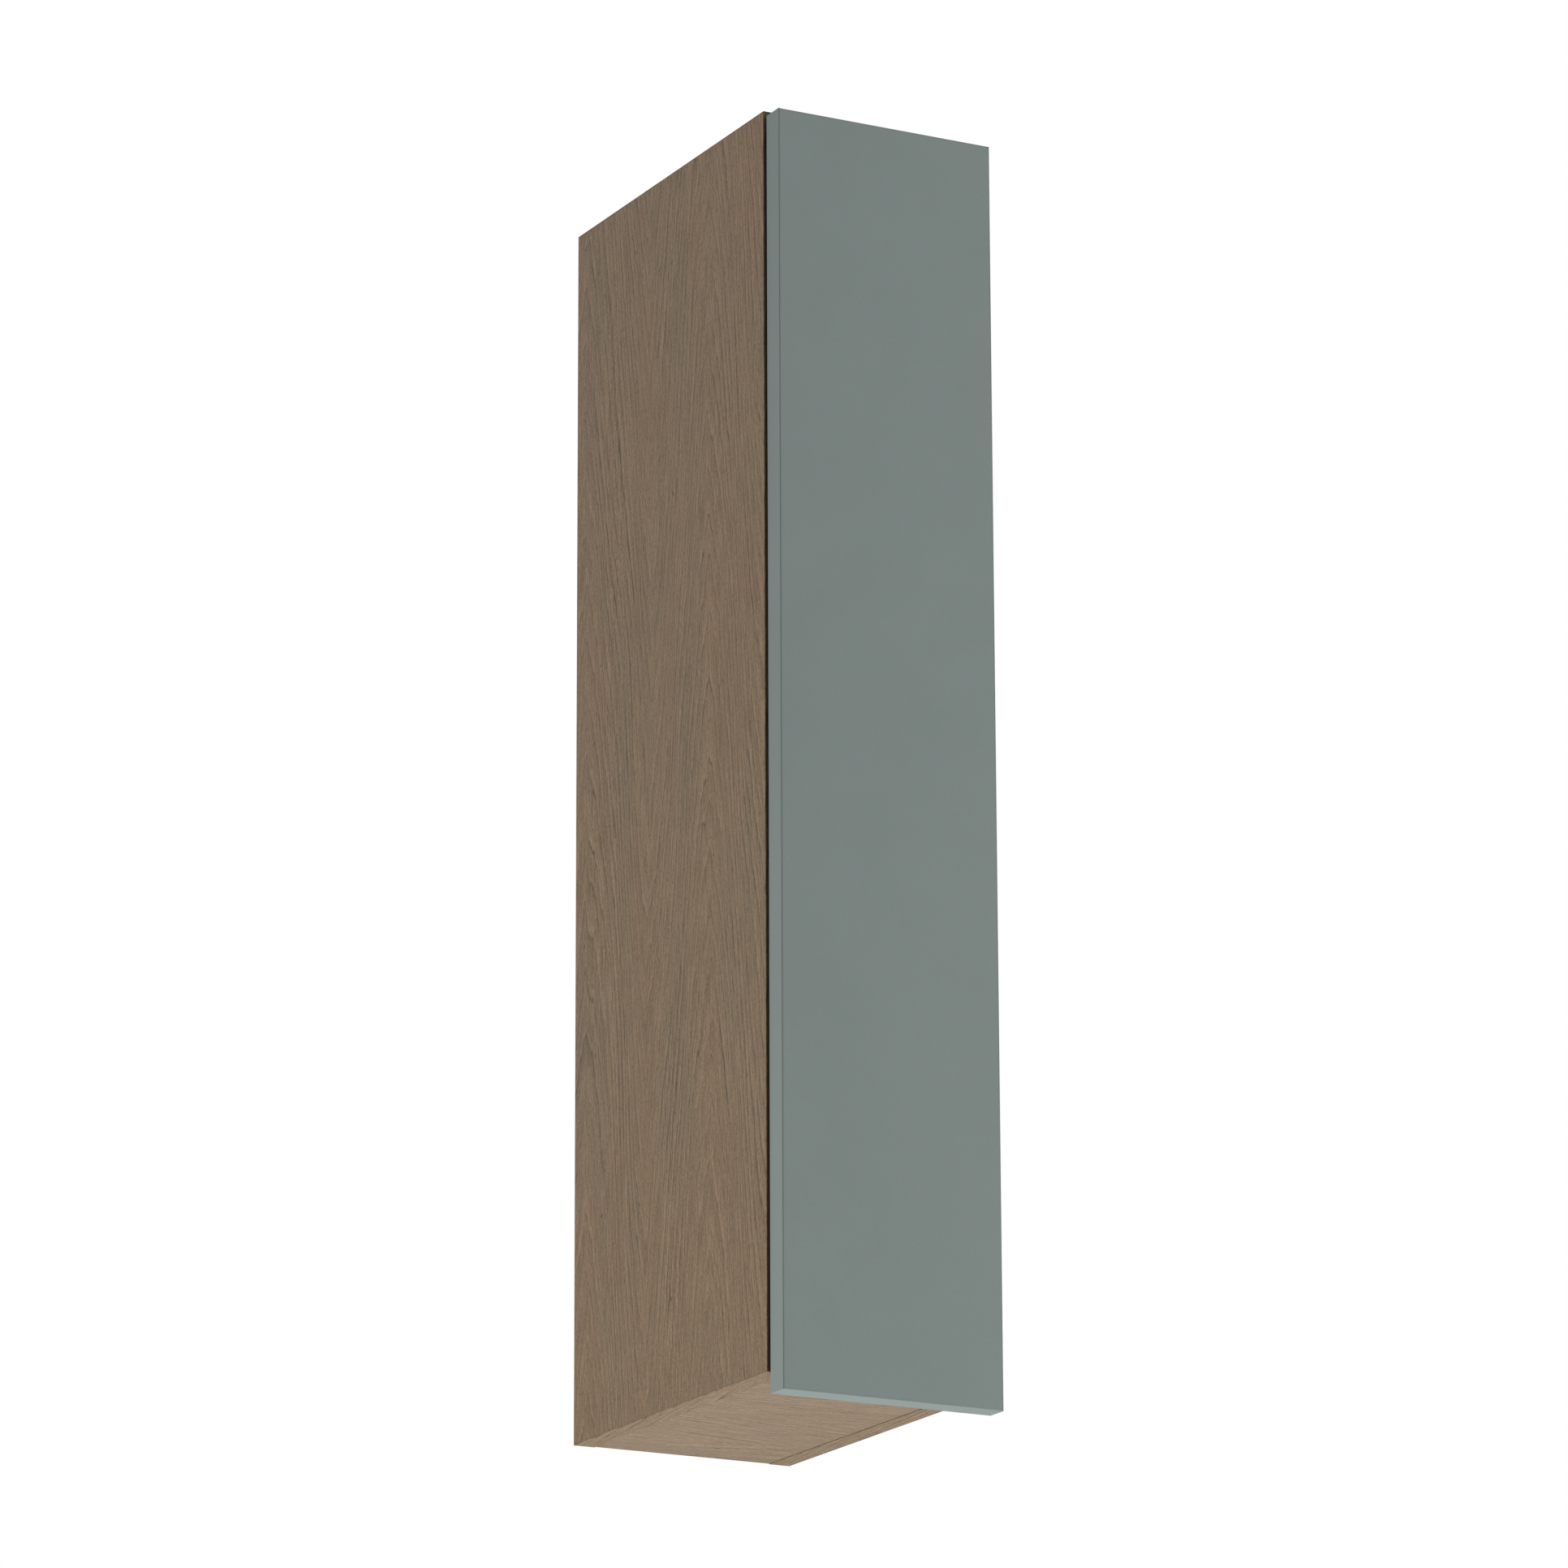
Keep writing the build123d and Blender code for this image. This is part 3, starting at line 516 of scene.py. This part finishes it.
def mouldedPlastic(name, codes, roughness, grit, **constants):
    # injection-moulded plastic: one colour through and through, with the mould's spark-eroded grain, in mm
    made, tree, shader = startMaterial(name, roughness, **constants)
    place = addNode(tree, "ShaderNodeTexCoord")
    cloud = addNode(tree, "ShaderNodeTexNoise", Vector=place.outputs["Object"],
                    Scale=fittingLook["clouds"], Detail=2.0)
    grain = addNode(tree, "ShaderNodeTexVoronoi", Vector=place.outputs["Object"], Scale=1000 / grit)
    colour = addNode(tree, "ShaderNodeMix", {"data_type": "RGBA"}, in0=cloud.outputs[0],
                     in6=linear(codes[0]), in7=linear(codes[1]))
    tree.links.new(colour.outputs[2], shader.inputs["Base Color"])
    bump = addNode(tree, "ShaderNodeBump", Strength=0.3, Distance=fittingLook["grain"] * mm,
                   Height=grain.outputs["Distance"])
    tree.links.new(bump.outputs[0], shader.inputs["Normal"])
    return made


beechLook = {
    "pale": "#d3ab79",
    "dark": "#b98a58",
    "roughness": 0.72,
    "rays": (260, 2600, 2600),   # per metre: 4 mm long and 0.4 mm wide
    "relief": 0.05,              # mm
}


def turnedBeech(name, look):
    # dry beech dowel: pale and even, with short darker rays along its length
    made, tree, shader = startMaterial(name, look["roughness"])
    place = addNode(tree, "ShaderNodeTexCoord")
    drawn = addNode(tree, "ShaderNodeMapping", Vector=place.outputs["Object"], Scale=look["rays"])
    rays = addNode(tree, "ShaderNodeTexNoise", Vector=drawn.outputs[0], Scale=1.0, Detail=3.0)
    share = addNode(tree, "ShaderNodeMapRange", Value=rays.outputs[0], in1=0.35, in2=0.7)
    colour = addNode(tree, "ShaderNodeMix", {"data_type": "RGBA"}, in0=share.outputs[0],
                     in6=linear(look["pale"]), in7=linear(look["dark"]))
    tree.links.new(colour.outputs[2], shader.inputs["Base Color"])
    bump = addNode(tree, "ShaderNodeBump", Strength=0.4, Distance=look["relief"] * mm,
                   Height=rays.outputs[0])
    tree.links.new(bump.outputs[0], shader.inputs["Normal"])
    return made


# front bands get painted shade for the door's shadow: a darker colour, and more painted shade near the door;
# they are also duller
frontBand = {"shade": 0.72, "gloss": 0.12, "joints": (2.5, 8.0)}
# painted shade in the tight joints of the cross boards and the depth bands
tightJointShade = (1.5, 1.5)
finish = {
    "sideBoard": woodDecor("oakDecorSideBoard", 2, (100, 243, 30), 0),
    "backBoard": woodDecor("oakDecorBackBoard", 2, (430, 0, 700), 1),
    "crossBoard": woodDecor("oakDecorCrossBoard", 0, (300, 60, 0), 2, gloss=0.75, joints=tightJointShade),
    "uprightBand": woodDecor("oakDecorUprightBand", 2, (150, 0, 300), **frontBand),
    "acrossBand": woodDecor("oakDecorAcrossBand", 0, (900, 0, 40), **frontBand),
    "depthBand": woodDecor("oakDecorDepthBand", 1, (55, 500, 0), joints=tightJointShade),
    "door": mattLaminate("sageLaminate", ("#7a8683", "#7f8b88")),
    "doorEdge": mattLaminate("sageEdgeBand", ("#7e8a87", "#838f8c"), roundEdgeDarkening=0.4),
    "nickel": mottledMetal("nickelPlatedSteel", ("#cfcac1", "#d8d3cb"), 0.34, 0.025, 0.8),
    "zinc": mottledMetal("zincPlatedSteel", ("#c6cacd", "#d6d9dc"), 0.32, 0.03, 0.8),
    "beech": turnedBeech("beechDowel", beechLook),
    "hanger": mouldedPlastic("greyMouldedPlastic", ("#c3c3bf", "#c9c9c5"), 0.45, 0.35),
    "bumper": mouldedPlastic("clearSoftPlastic", ("#dfe3e2", "#e6eae9"), 0.25, 0.5,
                             Transmission_Weight=0.55),
}
print("finishes:", len(finish))


# Boards, bands and fittings: copies of the CAD shapes with their edges softened
# bevels are held back where they would overlap, so many rounds of the fittings come out smaller than set
soften = {
    "board": {"radius": 0.25, "segments": 2, "shortest": 12.0, "smoothBelow": 20.0},
    "band": {"radius": 0.35, "segments": 3, "shortest": 6.0, "smoothBelow": 20.0},
    "fitting": {"radius": 0.22, "segments": 2, "shortest": 0.8, "smoothBelow": 35.0},
}
sameSpot = 0.001   # mm; nearer corners are one
flatBelow = 0.5    # degrees between faces that are one
bentFrom = 40.0    # degrees between faces whose edge is rounded
onPlace = 0.06     # mm from an edge's middle to the place that it is picked by


def bentEdges(shape):
    least = math.radians(bentFrom)
    return [edge for edge in shape.edges if len(edge.link_faces) == 2 and edge.calc_face_angle() > least]


def softCopy(node, name, material, body, s, rounds=()):
    # rounds: (axis that the edges run along, radius, steps, and where: axis to the places in mm)
    shape = bmesh.new()
    shape.from_mesh(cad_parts[node].data)
    bmesh.ops.remove_doubles(shape, verts=shape.verts, dist=sameSpot * mm)
    bmesh.ops.dissolve_limit(shape, angle_limit=math.radians(flatBelow), verts=shape.verts,
                             edges=shape.edges)
    for axis, radius, steps, where in rounds:
        picked = []
        for edge in bentEdges(shape):
            run = edge.verts[1].co - edge.verts[0].co
            middle = (edge.verts[1].co + edge.verts[0].co) / 2 / mm
            along = axis == "any" or abs(run["xyz".index(axis)]) > 0.99 * run.length
            if along and all(min(abs(middle["xyz".index(side)] - place) for place in places) < onPlace
                             for side, places in where.items()):
                picked.append(edge)
        bmesh.ops.bevel(shape, geom=picked, offset=radius * mm, segments=steps, profile=0.5,
                        affect="EDGES", clamp_overlap=True)
    sharp = [edge for edge in bentEdges(shape) if edge.calc_length() > s["shortest"] * mm]
    bmesh.ops.bevel(shape, geom=sharp, offset=s["radius"] * mm, segments=s["segments"], profile=0.5,
                    affect="EDGES", clamp_overlap=True)
    for face in shape.faces:
        face.smooth = True
    for edge in shape.edges:
        if len(edge.link_faces) == 2:
            edge.smooth = edge.calc_face_angle() < math.radians(s["smoothBelow"])
    mesh = bpy.data.meshes.new(name)
    shape.to_mesh(mesh)
    shape.free()
    mesh.materials.append(material)
    piece = bpy.data.objects.new(name, mesh)
    scene.collection.objects.link(piece)
    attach(piece, body)
    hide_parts(node)


boards = {
    "side_panel_left": ("sideBoardLeft", "sideBoard"),
    "side_panel_right": ("sideBoardRight", "sideBoard"),
    "top_panel": ("topBoard", "crossBoard"),
    "bottom_panel": ("bottomBoard", "crossBoard"),
    "back_panel": ("backBoard", "backBoard"),
    "shelf_1": ("shelfLow", "crossBoard"),
    "shelf_2": ("shelfMiddle", "crossBoard"),
    "shelf_3": ("shelfHigh", "crossBoard"),
}
bands = {
    "side_front_edge_bands": ("sideFrontBands", "uprightBand"),
    "side_end_edge_bands": ("sideEndBands", "depthBand"),
    "cross_panel_edge_bands": ("crossBoardBands", "acrossBand"),
    "shelf_edge_bands": ("shelfBands", "acrossBand"),
}
for node, (name, look) in boards.items():
    softCopy(node, name, finish[look], "carcass", soften["board"])
for node, (name, look) in bands.items():
    softCopy(node, name, finish[look], "carcass", soften["band"])
softCopy("door_panel", "doorSlab", finish["door"], "door", soften["board"])
softCopy("door_side_edge_bands", "doorSideBands", finish["doorEdge"], "door",
         soften["band"])
softCopy("door_end_edge_bands", "doorEndBands", finish["door"], "door", soften["band"])
print("boards and bands: made")


# Hinges: pressed steel, whose corners are cut round
hinge = {
    "armNose": (4.2, 6),     # a round: its radius in mm and its steps
    "armTail": (2.5, 4),
    "bendOutside": (1.1, 3),   # held back on the low and middle hinges
    "wingCorner": (5.2, 6),
    "wingTop": (0.7, 2),
    "blockCorner": (2.0, 4),
    "blockTop": (1.3, 3),
    "cupFoot": (1.8, 4),
    "cupRim": (0.5, 3),
    "wingWidth": 12.0,       # mm, as the CAD plate has it
    "wingThickness": 2.5,
    "screwBehindFront": 17.0,
}


def makeHinge(number, label, h):
    low, high = cornersOf(f"hinge_{number}_arm")
    armRounds = (
        ("z", *h["armNose"], {"y": [low.y], "x": [low.x, high.x]}),
        ("z", *h["armTail"], {"y": [high.y], "x": [high.x]}),
        ("y", *h["bendOutside"], {"x": [low.x], "z": [low.z, high.z]}),
    )
    low, high = cornersOf(f"hinge_{number}_plate")
    screwY = low.y + h["screwBehindFront"]
    wingEdges = [screwY - h["wingWidth"] / 2, screwY + h["wingWidth"] / 2]
    plateRounds = (
        ("x", *h["wingCorner"], {"y": wingEdges, "z": [low.z, high.z]}),
        ("x", *h["blockCorner"], {"y": [low.y, high.y]}),
        ("any", *h["blockTop"], {"x": [low.x]}),
        ("any", *h["wingTop"], {"x": [high.x - h["wingThickness"]]}),
    )
    low, high = cornersOf(f"hinge_{number}_cup")
    cupRounds = (
        ("any", *h["cupFoot"], {"y": [low.y]}),
        ("any", *h["cupRim"], {"y": [high.y]}),
    )
    for part, body, rounds in (("cup", "door", cupRounds), ("arm", "carcass", armRounds),
                               ("plate", "carcass", plateRounds), ("link", "hinge_links", ())):
        softCopy(f"hinge_{number}_{part}", f"hinge{part.capitalize()}{label}", finish["nickel"], body,
                 soften["fitting"], rounds)


for number, label in ((1, "Low"), (2, "Middle"), (3, "High")):
    makeHinge(number, label, hinge)
print("hinges: made")


# Hangers: plastic shells over zinc-plated steel
hanger = {
    "coverCorner": (2.6, 5),   # a round: its radius in mm and its steps; the two at the top are held back
    "housingCorner": (1.5, 3),
    "tooth": (1.4, 4),
}


def makeHanger(side, h):
    label = side.capitalize()
    for part in ("cover", "housing"):
        low, high = cornersOf(f"hanger_{side}_{part}")
        inner = low.x if side == "right" else high.x   # the face that looks into the cabinet
        corner = h[part + "Corner"]
        rounds = (
            ("any", *corner, {"x": [inner], "y": [low.y]}),
            ("any", *corner, {"x": [inner], "z": [high.z]}),
            ("any", *corner, {"y": [low.y], "z": [high.z]}),
        )
        softCopy(f"hanger_{side}_{part}", f"hanger{part.capitalize()}{label}", finish["hanger"],
                 "carcass", soften["fitting"], rounds)
    softCopy(f"hanger_{side}_carriage", f"hangerCarriage{label}", finish["zinc"], f"hanger_lift_{side}",
             soften["fitting"])
    low, high = cornersOf(f"hanger_{side}_hook")
    toothRounds = (("x", *h["tooth"], {"y": [high.y], "z": [low.z, high.z]}),)
    softCopy(f"hanger_{side}_hook", f"hangerHook{label}", finish["zinc"], f"hanger_hook_{side}",
             soften["fitting"], toothRounds)


for side in ("left", "right"):
    makeHanger(side, hanger)
print("hangers: made")


# Fasteners: turned shapes that Geometry Nodes set on one point for each solid of a CAD node
# An outline runs from tip to top as (radius, height), each in shares of the sizes by name
outlines = {
    "screw": (
        ({"Head": 0.48}, {}),
        ({"Head": 0.5}, {"Height": 0.12}),
        ({"Head": 0.495}, {"Height": 0.35}),
        ({"Head": 0.45}, {"Height": 0.66}),
        ({"Head": 0.36}, {"Height": 0.88}),
        ({"Head": 0.22}, {"Height": 0.98}),
        ({}, {"Height": 1.0}),
    ),
    "pin": (
        ({}, {"Length": -1}),
        ({"Shank": 0.5, "Chamfer": -1}, {"Length": -1}),
        ({"Shank": 0.5}, {"Length": -1, "Chamfer": 1}),
        ({"Shank": 0.5}, {"Chamfer": -1}),
        ({"Shank": 0.5, "Chamfer": -1}, {}),
        ({}, {}),
    ),
    "shelfPin": (
        ({}, {"Length": -1}),
        ({"Shank": 0.5, "Chamfer": -1}, {"Length": -1}),
        ({"Shank": 0.5}, {"Length": -1, "Chamfer": 1}),
        ({"Shank": 0.5}, {}),
        ({"Head": 0.5, "Chamfer": -1}, {}),
        ({"Head": 0.5}, {"Chamfer": 1}),
        ({"Head": 0.5}, {"Height": 1, "Chamfer": -1}),
        ({"Head": 0.5, "Chamfer": -1}, {"Height": 1}),
        ({}, {"Height": 1}),
    ),
    "pad": (
        ({}, {}),
        ({"Head": 0.5}, {}),
        ({"Head": 0.5}, {"Height": 0.35}),
        ({"Head": 0.475}, {"Height": 0.66}),
        ({"Head": 0.41}, {"Height": 0.9}),
        ({"Head": 0.32}, {"Height": 1.0}),
        ({}, {"Height": 1.0}),
    ),
}


def solidBoxes(node):
    # lowest and highest corner of every solid in a CAD node, in mm and in a steady order
    shape = bmesh.new()
    shape.from_mesh(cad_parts[node].data)
    bmesh.ops.remove_doubles(shape, verts=shape.verts, dist=sameSpot * mm)
    boxes = []
    for start in shape.verts:
        if start.tag:
            continue
        start.tag = True
        waiting, corners = [start], []
        while waiting:
            vert = waiting.pop()
            corners.append(vert.co / mm)
            for other in (e.other_vert(vert) for e in vert.link_edges):
                if not other.tag:
                    other.tag = True
                    waiting.append(other)
        boxes.append([tuple(pick(c[n] for c in corners) for n in range(3)) for pick in (min, max)])
    shape.free()
    return sorted(boxes)


lathe = {
    "taper": 0.35,       # share that the driver's cross narrows from its top to its bottom
    "merged": 0.002,     # mm; nearer corners are one, which closes the seam and the poles
    "smoothBelow": 34,   # degrees
    "seed": 7,           # for how far each screw was driven
}


def turnedTree(name, outline, sizes, threadRows, crossed):
    tree = bpy.data.node_groups.new(name, "GeometryNodeTree")
    tree.interface.new_socket("Points", in_out="INPUT", socket_type="NodeSocketGeometry")
    for size in sizes:
        tree.interface.new_socket(size, in_out="INPUT", socket_type="NodeSocketFloat")
    tree.interface.new_socket("Finish", in_out="INPUT", socket_type="NodeSocketMaterial")
    tree.interface.new_socket("Pieces", in_out="OUTPUT", socket_type="NodeSocketGeometry")
    given = addNode(tree, "NodeGroupInput").outputs
    got = {size: given[size] for size in sizes}

    # a sheet of points: one row for each point of the outline, one column for each step of the turn
    rows = threadRows + len(outline)
    columns = addNode(tree, "ShaderNodeMath", in0=given["Steps"], in1=1.0)
    sheet = addNode(tree, "GeometryNodeMeshGrid", in0=1.0, in1=1.0, in2=columns.outputs[0], in3=rows)
    index = addNode(tree, "GeometryNodeInputIndex")
    column = addNode(tree, "FunctionNodeIntegerMath", {"operation": "DIVIDE_FLOOR"}, in0=index.outputs[0],
                     in1=rows)
    row = addNode(tree, "FunctionNodeIntegerMath", {"operation": "MODULO"}, in0=index.outputs[0], in1=rows)
    beyond = addNode(tree, "FunctionNodeIntegerMath", {"operation": "SUBTRACT"}, in0=row.outputs[0],
                     in1=threadRows)
    profile = []
    for pair in (0, 1):    # the radius, then the height
        chosen = addNode(tree, "GeometryNodeIndexSwitch", {"data_type": "FLOAT"}, in0=beyond.outputs[0])
        while len(chosen.index_switch_items) < len(outline):
            chosen.index_switch_items.new()
        for number, point in enumerate(outline):
            total = 0.0
            for size, share in point[pair].items():
                total = addNode(tree, "ShaderNodeMath", {"operation": "MULTIPLY_ADD"}, in0=given[size],
                                in1=share, in2=total).outputs[0]
            if point[pair]:
                tree.links.new(total, chosen.inputs[1 + number])
        profile.append(chosen.outputs[0])
    got["column"] = column.outputs[0]
    got["row"] = row.outputs[0]
    followSteps(tree, (
        ("part", "DIVIDE", "column", "Steps"),
        ("turn", "MULTIPLY", "part", math.tau),
    ), got)
    if threadRows:
        # below the seat the rows make the point and a thread that winds once for each pitch
        followSteps(tree, (
            ("along", "DIVIDE", "row", threadRows - 1.0),
            ("risen", "MULTIPLY", "along", "Length"),
            ("level", "SUBTRACT", "risen", "Length"),
            ("wound", "DIVIDE", "risen", "Pitch"),
            ("wound", "SUBTRACT", "wound", "part"),
            ("ridge", "PINGPONG", "wound", 0.5),
            ("core", "MULTIPLY", "Thread", -2.0),
            ("cut", "MULTIPLY_ADD", "ridge", "core", 1.0),
            ("narrow", "DIVIDE", "risen", "Point"),
            ("narrow", "MINIMUM", "narrow", 1.0),
            ("shank", "MULTIPLY", "Shank", 0.5),
            ("shank", "MULTIPLY", "shank", "narrow"),
            ("shank", "MULTIPLY", "shank", "cut"),
            ("low", "LESS_THAN", "row", threadRows - 0.5),
        ), got)
        for pair, made in enumerate(("shank", "level")):
            profile[pair] = addNode(tree, "GeometryNodeSwitch", {"input_type": "FLOAT"}, Switch=got["low"],
                                    False_=profile[pair], True_=got[made]).outputs[0]

    # flutes pinch the radius; a flat cuts one side off
    got["radius"] = profile[0]
    followSteps(tree, (
        ("wave", "MULTIPLY", "turn", "Flutes"),
        ("wave", "COSINE", "wave"),
        ("pinch", "MULTIPLY_ADD", "wave", "Flute depth", 1.0),
        ("pinch", "SUBTRACT", "pinch", "Flute depth"),
        ("radius", "MULTIPLY", "radius", "pinch"),
        ("x", "COSINE", "turn"),
        ("x", "MULTIPLY", "x", "radius"),
        ("x", "MINIMUM", "x", "Flat"),
        ("y", "SINE", "turn"),
        ("y", "MULTIPLY", "y", "radius"),
    ), got)
    place = addNode(tree, "ShaderNodeCombineXYZ", X=got["x"], Y=got["y"], Z=profile[1])
    shape = addNode(tree, "GeometryNodeSetPosition", Geometry=sheet.outputs["Mesh"],
                    Position=place.outputs[0])
    shape = addNode(tree, "GeometryNodeMergeByDistance", Geometry=shape.outputs[0],
                    Distance=lathe["merged"] * mm)

    if crossed:
        # two bars that narrow towards the bottom cut the driver's cross
        spot = addNode(tree, "GeometryNodeInputPosition")
        got["level"] = addNode(tree, "ShaderNodeSeparateXYZ", in0=spot.outputs[0]).outputs[2]
        followSteps(tree, (
            ("twice", "MULTIPLY", "Depth", 2.0),
            ("down", "SUBTRACT", "Height", "level"),
            ("down", "DIVIDE", "down", "Depth"),
            ("slim", "MULTIPLY_ADD", "down", -lathe["taper"], 1.0),
        ), got)
        lift = addNode(tree, "ShaderNodeCombineXYZ", Z=given["Height"])
        slim = addNode(tree, "ShaderNodeCombineXYZ", X=got["slim"], Y=got["slim"], Z=1.0)
        slim = addNode(tree, "ShaderNodeVectorMath", {"operation": "MULTIPLY"}, in0=spot.outputs[0],
                       in1=slim.outputs[0])
        recessed = addNode(tree, "GeometryNodeMeshBoolean", {"operation": "DIFFERENCE", "solver": "EXACT"},
                           in0=shape.outputs[0])
        for wide, deep in (("Reach", "Arm"), ("Arm", "Reach")):
            size = addNode(tree, "ShaderNodeCombineXYZ", X=given[wide], Y=given[deep], Z=got["twice"])
            bar = addNode(tree, "GeometryNodeMeshCube", in0=size.outputs[0])
            bar = addNode(tree, "GeometryNodeTransform", Geometry=bar.outputs["Mesh"],
                          Translation=lift.outputs[0])
            bar = addNode(tree, "GeometryNodeSetPosition", Geometry=bar.outputs[0],
                          Position=slim.outputs[0])
            tree.links.new(bar.outputs[0], recessed.inputs[1])
        shape = recessed

    # one on each point: its top looks along "aim", its first side along "side"
    aims = [addNode(tree, "GeometryNodeInputNamedAttribute", {"data_type": "FLOAT_VECTOR"}, Name=label)
            for label in ("aim", "side")]
    stand = addNode(tree, "FunctionNodeAxesToRotation", {"primary_axis": "Z", "secondary_axis": "X"},
                    in0=aims[0].outputs[0], in1=aims[1].outputs[0])
    placed = addNode(tree, "GeometryNodeInstanceOnPoints", Points=given["Points"],
                     Instance=shape.outputs[0], Rotation=stand.outputs[0])
    chance = addNode(tree, "FunctionNodeRandomValue", {"data_type": "FLOAT"}, Seed=lathe["seed"])
    driven = addNode(tree, "ShaderNodeMath", {"operation": "MULTIPLY"}, in0=chance.outputs[1],
                     in1=given["Turned"])
    driven = addNode(tree, "ShaderNodeCombineXYZ", Z=driven.outputs[0])
    placed = addNode(tree, "GeometryNodeRotateInstances", Instances=placed.outputs[0],
                     Rotation=driven.outputs[0])
    solid = addNode(tree, "GeometryNodeRealizeInstances", Geometry=placed.outputs[0])
    angle = addNode(tree, "GeometryNodeInputMeshEdgeAngle")
    soft = addNode(tree, "ShaderNodeMath", {"operation": "LESS_THAN"}, in0=angle.outputs[0],
                   in1=math.radians(lathe["smoothBelow"]))
    solid = addNode(tree, "GeometryNodeSetShadeSmooth", {"domain": "EDGE"}, Geometry=solid.outputs[0],
                    in2=soft.outputs[0])
    solid = addNode(tree, "GeometryNodeSetMaterial", Geometry=solid.outputs[0], Material=given["Finish"])
    addNode(tree, "NodeGroupOutput", Pieces=solid.outputs[0])
    return tree


# sizes in mm, as the CAD solids have them; "looks" is where the head faces, "in" for the cabinet's middle
plainFastener = {"Chamfer": 0.3, "Height": 0.0, "Head": 0.0, "Flat": 50.0, "Flutes": 0, "Flute depth": 0.0,
                 "Turned": 0.0, "Steps": 32}
adjuster = {"outline": "screw", "looks": -1, "Shank": 4.0, "Head": 8.0, "Height": 3.0, "Pitch": 0.7}
fasteners = {
    "carcassDowels": {"node": "carcass_dowels", "outline": "pin", "axis": 0, "looks": "in",
                      "finish": "beech", "slot": "beech_dowel", "Shank": 8.0, "Chamfer": 0.8,
                      "Flutes": 18, "Flute depth": 0.02, "Steps": 108},
    "shelfPins": {"node": "shelf_pins", "outline": "shelfPin", "axis": 0, "looks": "in",
                  "Shank": 4.9, "Head": 8.0, "Height": 8.0, "Flat": 2.5, "Chamfer": 0.5},
    "armPins": {"node": "hinge_arm_pins", "outline": "pin", "axis": 2, "looks": 1, "Shank": 2.6},
    "cupPins": {"node": "hinge_cup_pins", "outline": "pin", "axis": 2, "looks": 1, "Shank": 2.6,
                "body": "door"},
    "cupScrews": {"node": "hinge_cup_screws", "outline": "screw", "axis": 1, "looks": 1,
                  "Shank": 3.5, "Head": 7.0, "Height": 2.0, "Pitch": 1.4, "body": "door"},
    "plateScrews": {"node": "hinge_plate_screws", "outline": "screw", "axis": 0, "looks": "in",
                    "Shank": 5.0, "Head": 9.0, "Height": 1.8, "Pitch": 1.8},
    "armScrews": {"node": "hinge_arm_screws", "outline": "screw", "axis": 0, "looks": "in",
                  "Shank": 5.0, "Head": 8.0, "Height": 1.5, "Pitch": 0.8},
    "hangerWoodScrews": {"node": "hanger_wood_screws", "outline": "screw", "axis": 0, "looks": "in",
                         "Shank": 4.0, "Head": 7.0, "Height": 1.6, "Pitch": 1.6},
    "heightScrews": {"node": "hanger_height_screws", "axis": 2, **adjuster},
    "depthScrewLeft": {"node": "hanger_left_depth_screw", "axis": 1, "body": "hanger_lift_left",
                       **adjuster},
    "depthScrewRight": {"node": "hanger_right_depth_screw", "axis": 1, "body": "hanger_lift_right",
                        **adjuster},
    "doorBumpers": {"node": "door_bumpers", "outline": "pad", "axis": 1, "looks": 1, "Head": 8.0,
                    "Shank": 8.0, "Height": 1.7, "finish": "bumper", "slot": "bumper_plastic",
                    "body": "door", "Steps": 48},
}
# what every screw has, each a share of one of its own sizes
screwShares = {"Reach": (0.62, "Head"), "Arm": (0.15, "Head"), "Depth": (0.55, "Height"),
               "Point": (1.1, "Shank")}
threadDepth = 0.24   # of the shank's radius
rowsPerPitch = 4
lengths = ("Chamfer", "Height", "Head", "Flat", "Shank", "Pitch", "Length", *screwShares)


def setFasteners(name, spec):
    spec = dict(plainFastener, **spec)
    axis = spec["axis"]
    places, aims = [], []
    for low, high in solidBoxes(spec["node"]):
        middle = (Vector(low) + Vector(high)) / 2
        looks = -math.copysign(1, middle[axis]) if spec["looks"] == "in" else spec["looks"]
        aim = Vector([looks if n == axis else 0 for n in range(3)])
        half = (high[axis] - low[axis]) / 2
        if spec["outline"] == "shelfPin":
            middle[2] = high[2] - spec["Flat"]
        places.append((middle + aim * (half - spec["Height"])) * mm)
        aims.append(aim)
        spec["Length"] = 2 * half - spec["Height"]
    threadRows = 0
    if spec["outline"] == "screw":
        threadRows = round(rowsPerPitch * spec["Length"] / spec["Pitch"])
        spec.update({size: share * spec[whole] for size, (share, whole) in screwShares.items()})
        spec.update({"Turned": math.tau, "Thread": threadDepth})

    points = bpy.data.meshes.new(name)
    points.from_pydata(places, [], [])
    for label, values in (("aim", aims), ("side", [(0, 0, 1) if axis == 0 else (1, 0, 0)] * len(aims))):
        kept = points.attributes.new(label, "FLOAT_VECTOR", "POINT")
        kept.data.foreach_set("vector", [c for value in values for c in value])
    piece = bpy.data.objects.new(name, points)
    scene.collection.objects.link(piece)
    sizes = [key for key in spec if key[0].isupper()]
    tree = turnedTree(name + "Turned", outlines[spec["outline"]], sizes, threadRows, threadRows > 0)
    setter = piece.modifiers.new("turned", "NODES")
    setter.node_group = tree
    for socket in tree.interface.items_tree:
        if socket.name in sizes:
            setter[socket.identifier] = float(spec[socket.name]) * (mm if socket.name in lengths else 1)
        elif socket.name == "Finish":
            setter[socket.identifier] = finish[spec.get("finish", "zinc")]
    shown = bpy.context.evaluated_depsgraph_get()
    made = bpy.data.meshes.new_from_object(piece.evaluated_get(shown), depsgraph=shown)
    made.materials.pop(index=0)   # the empty slot that the points had
    piece.modifiers.clear()
    piece.data = made
    made.name = name
    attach(piece, spec.get("body", "carcass"))
    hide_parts(spec["node"])


for name, spec in fasteners.items():
    setFasteners(name, spec)
print("fasteners:", len(fasteners), "kinds set by Geometry Nodes")
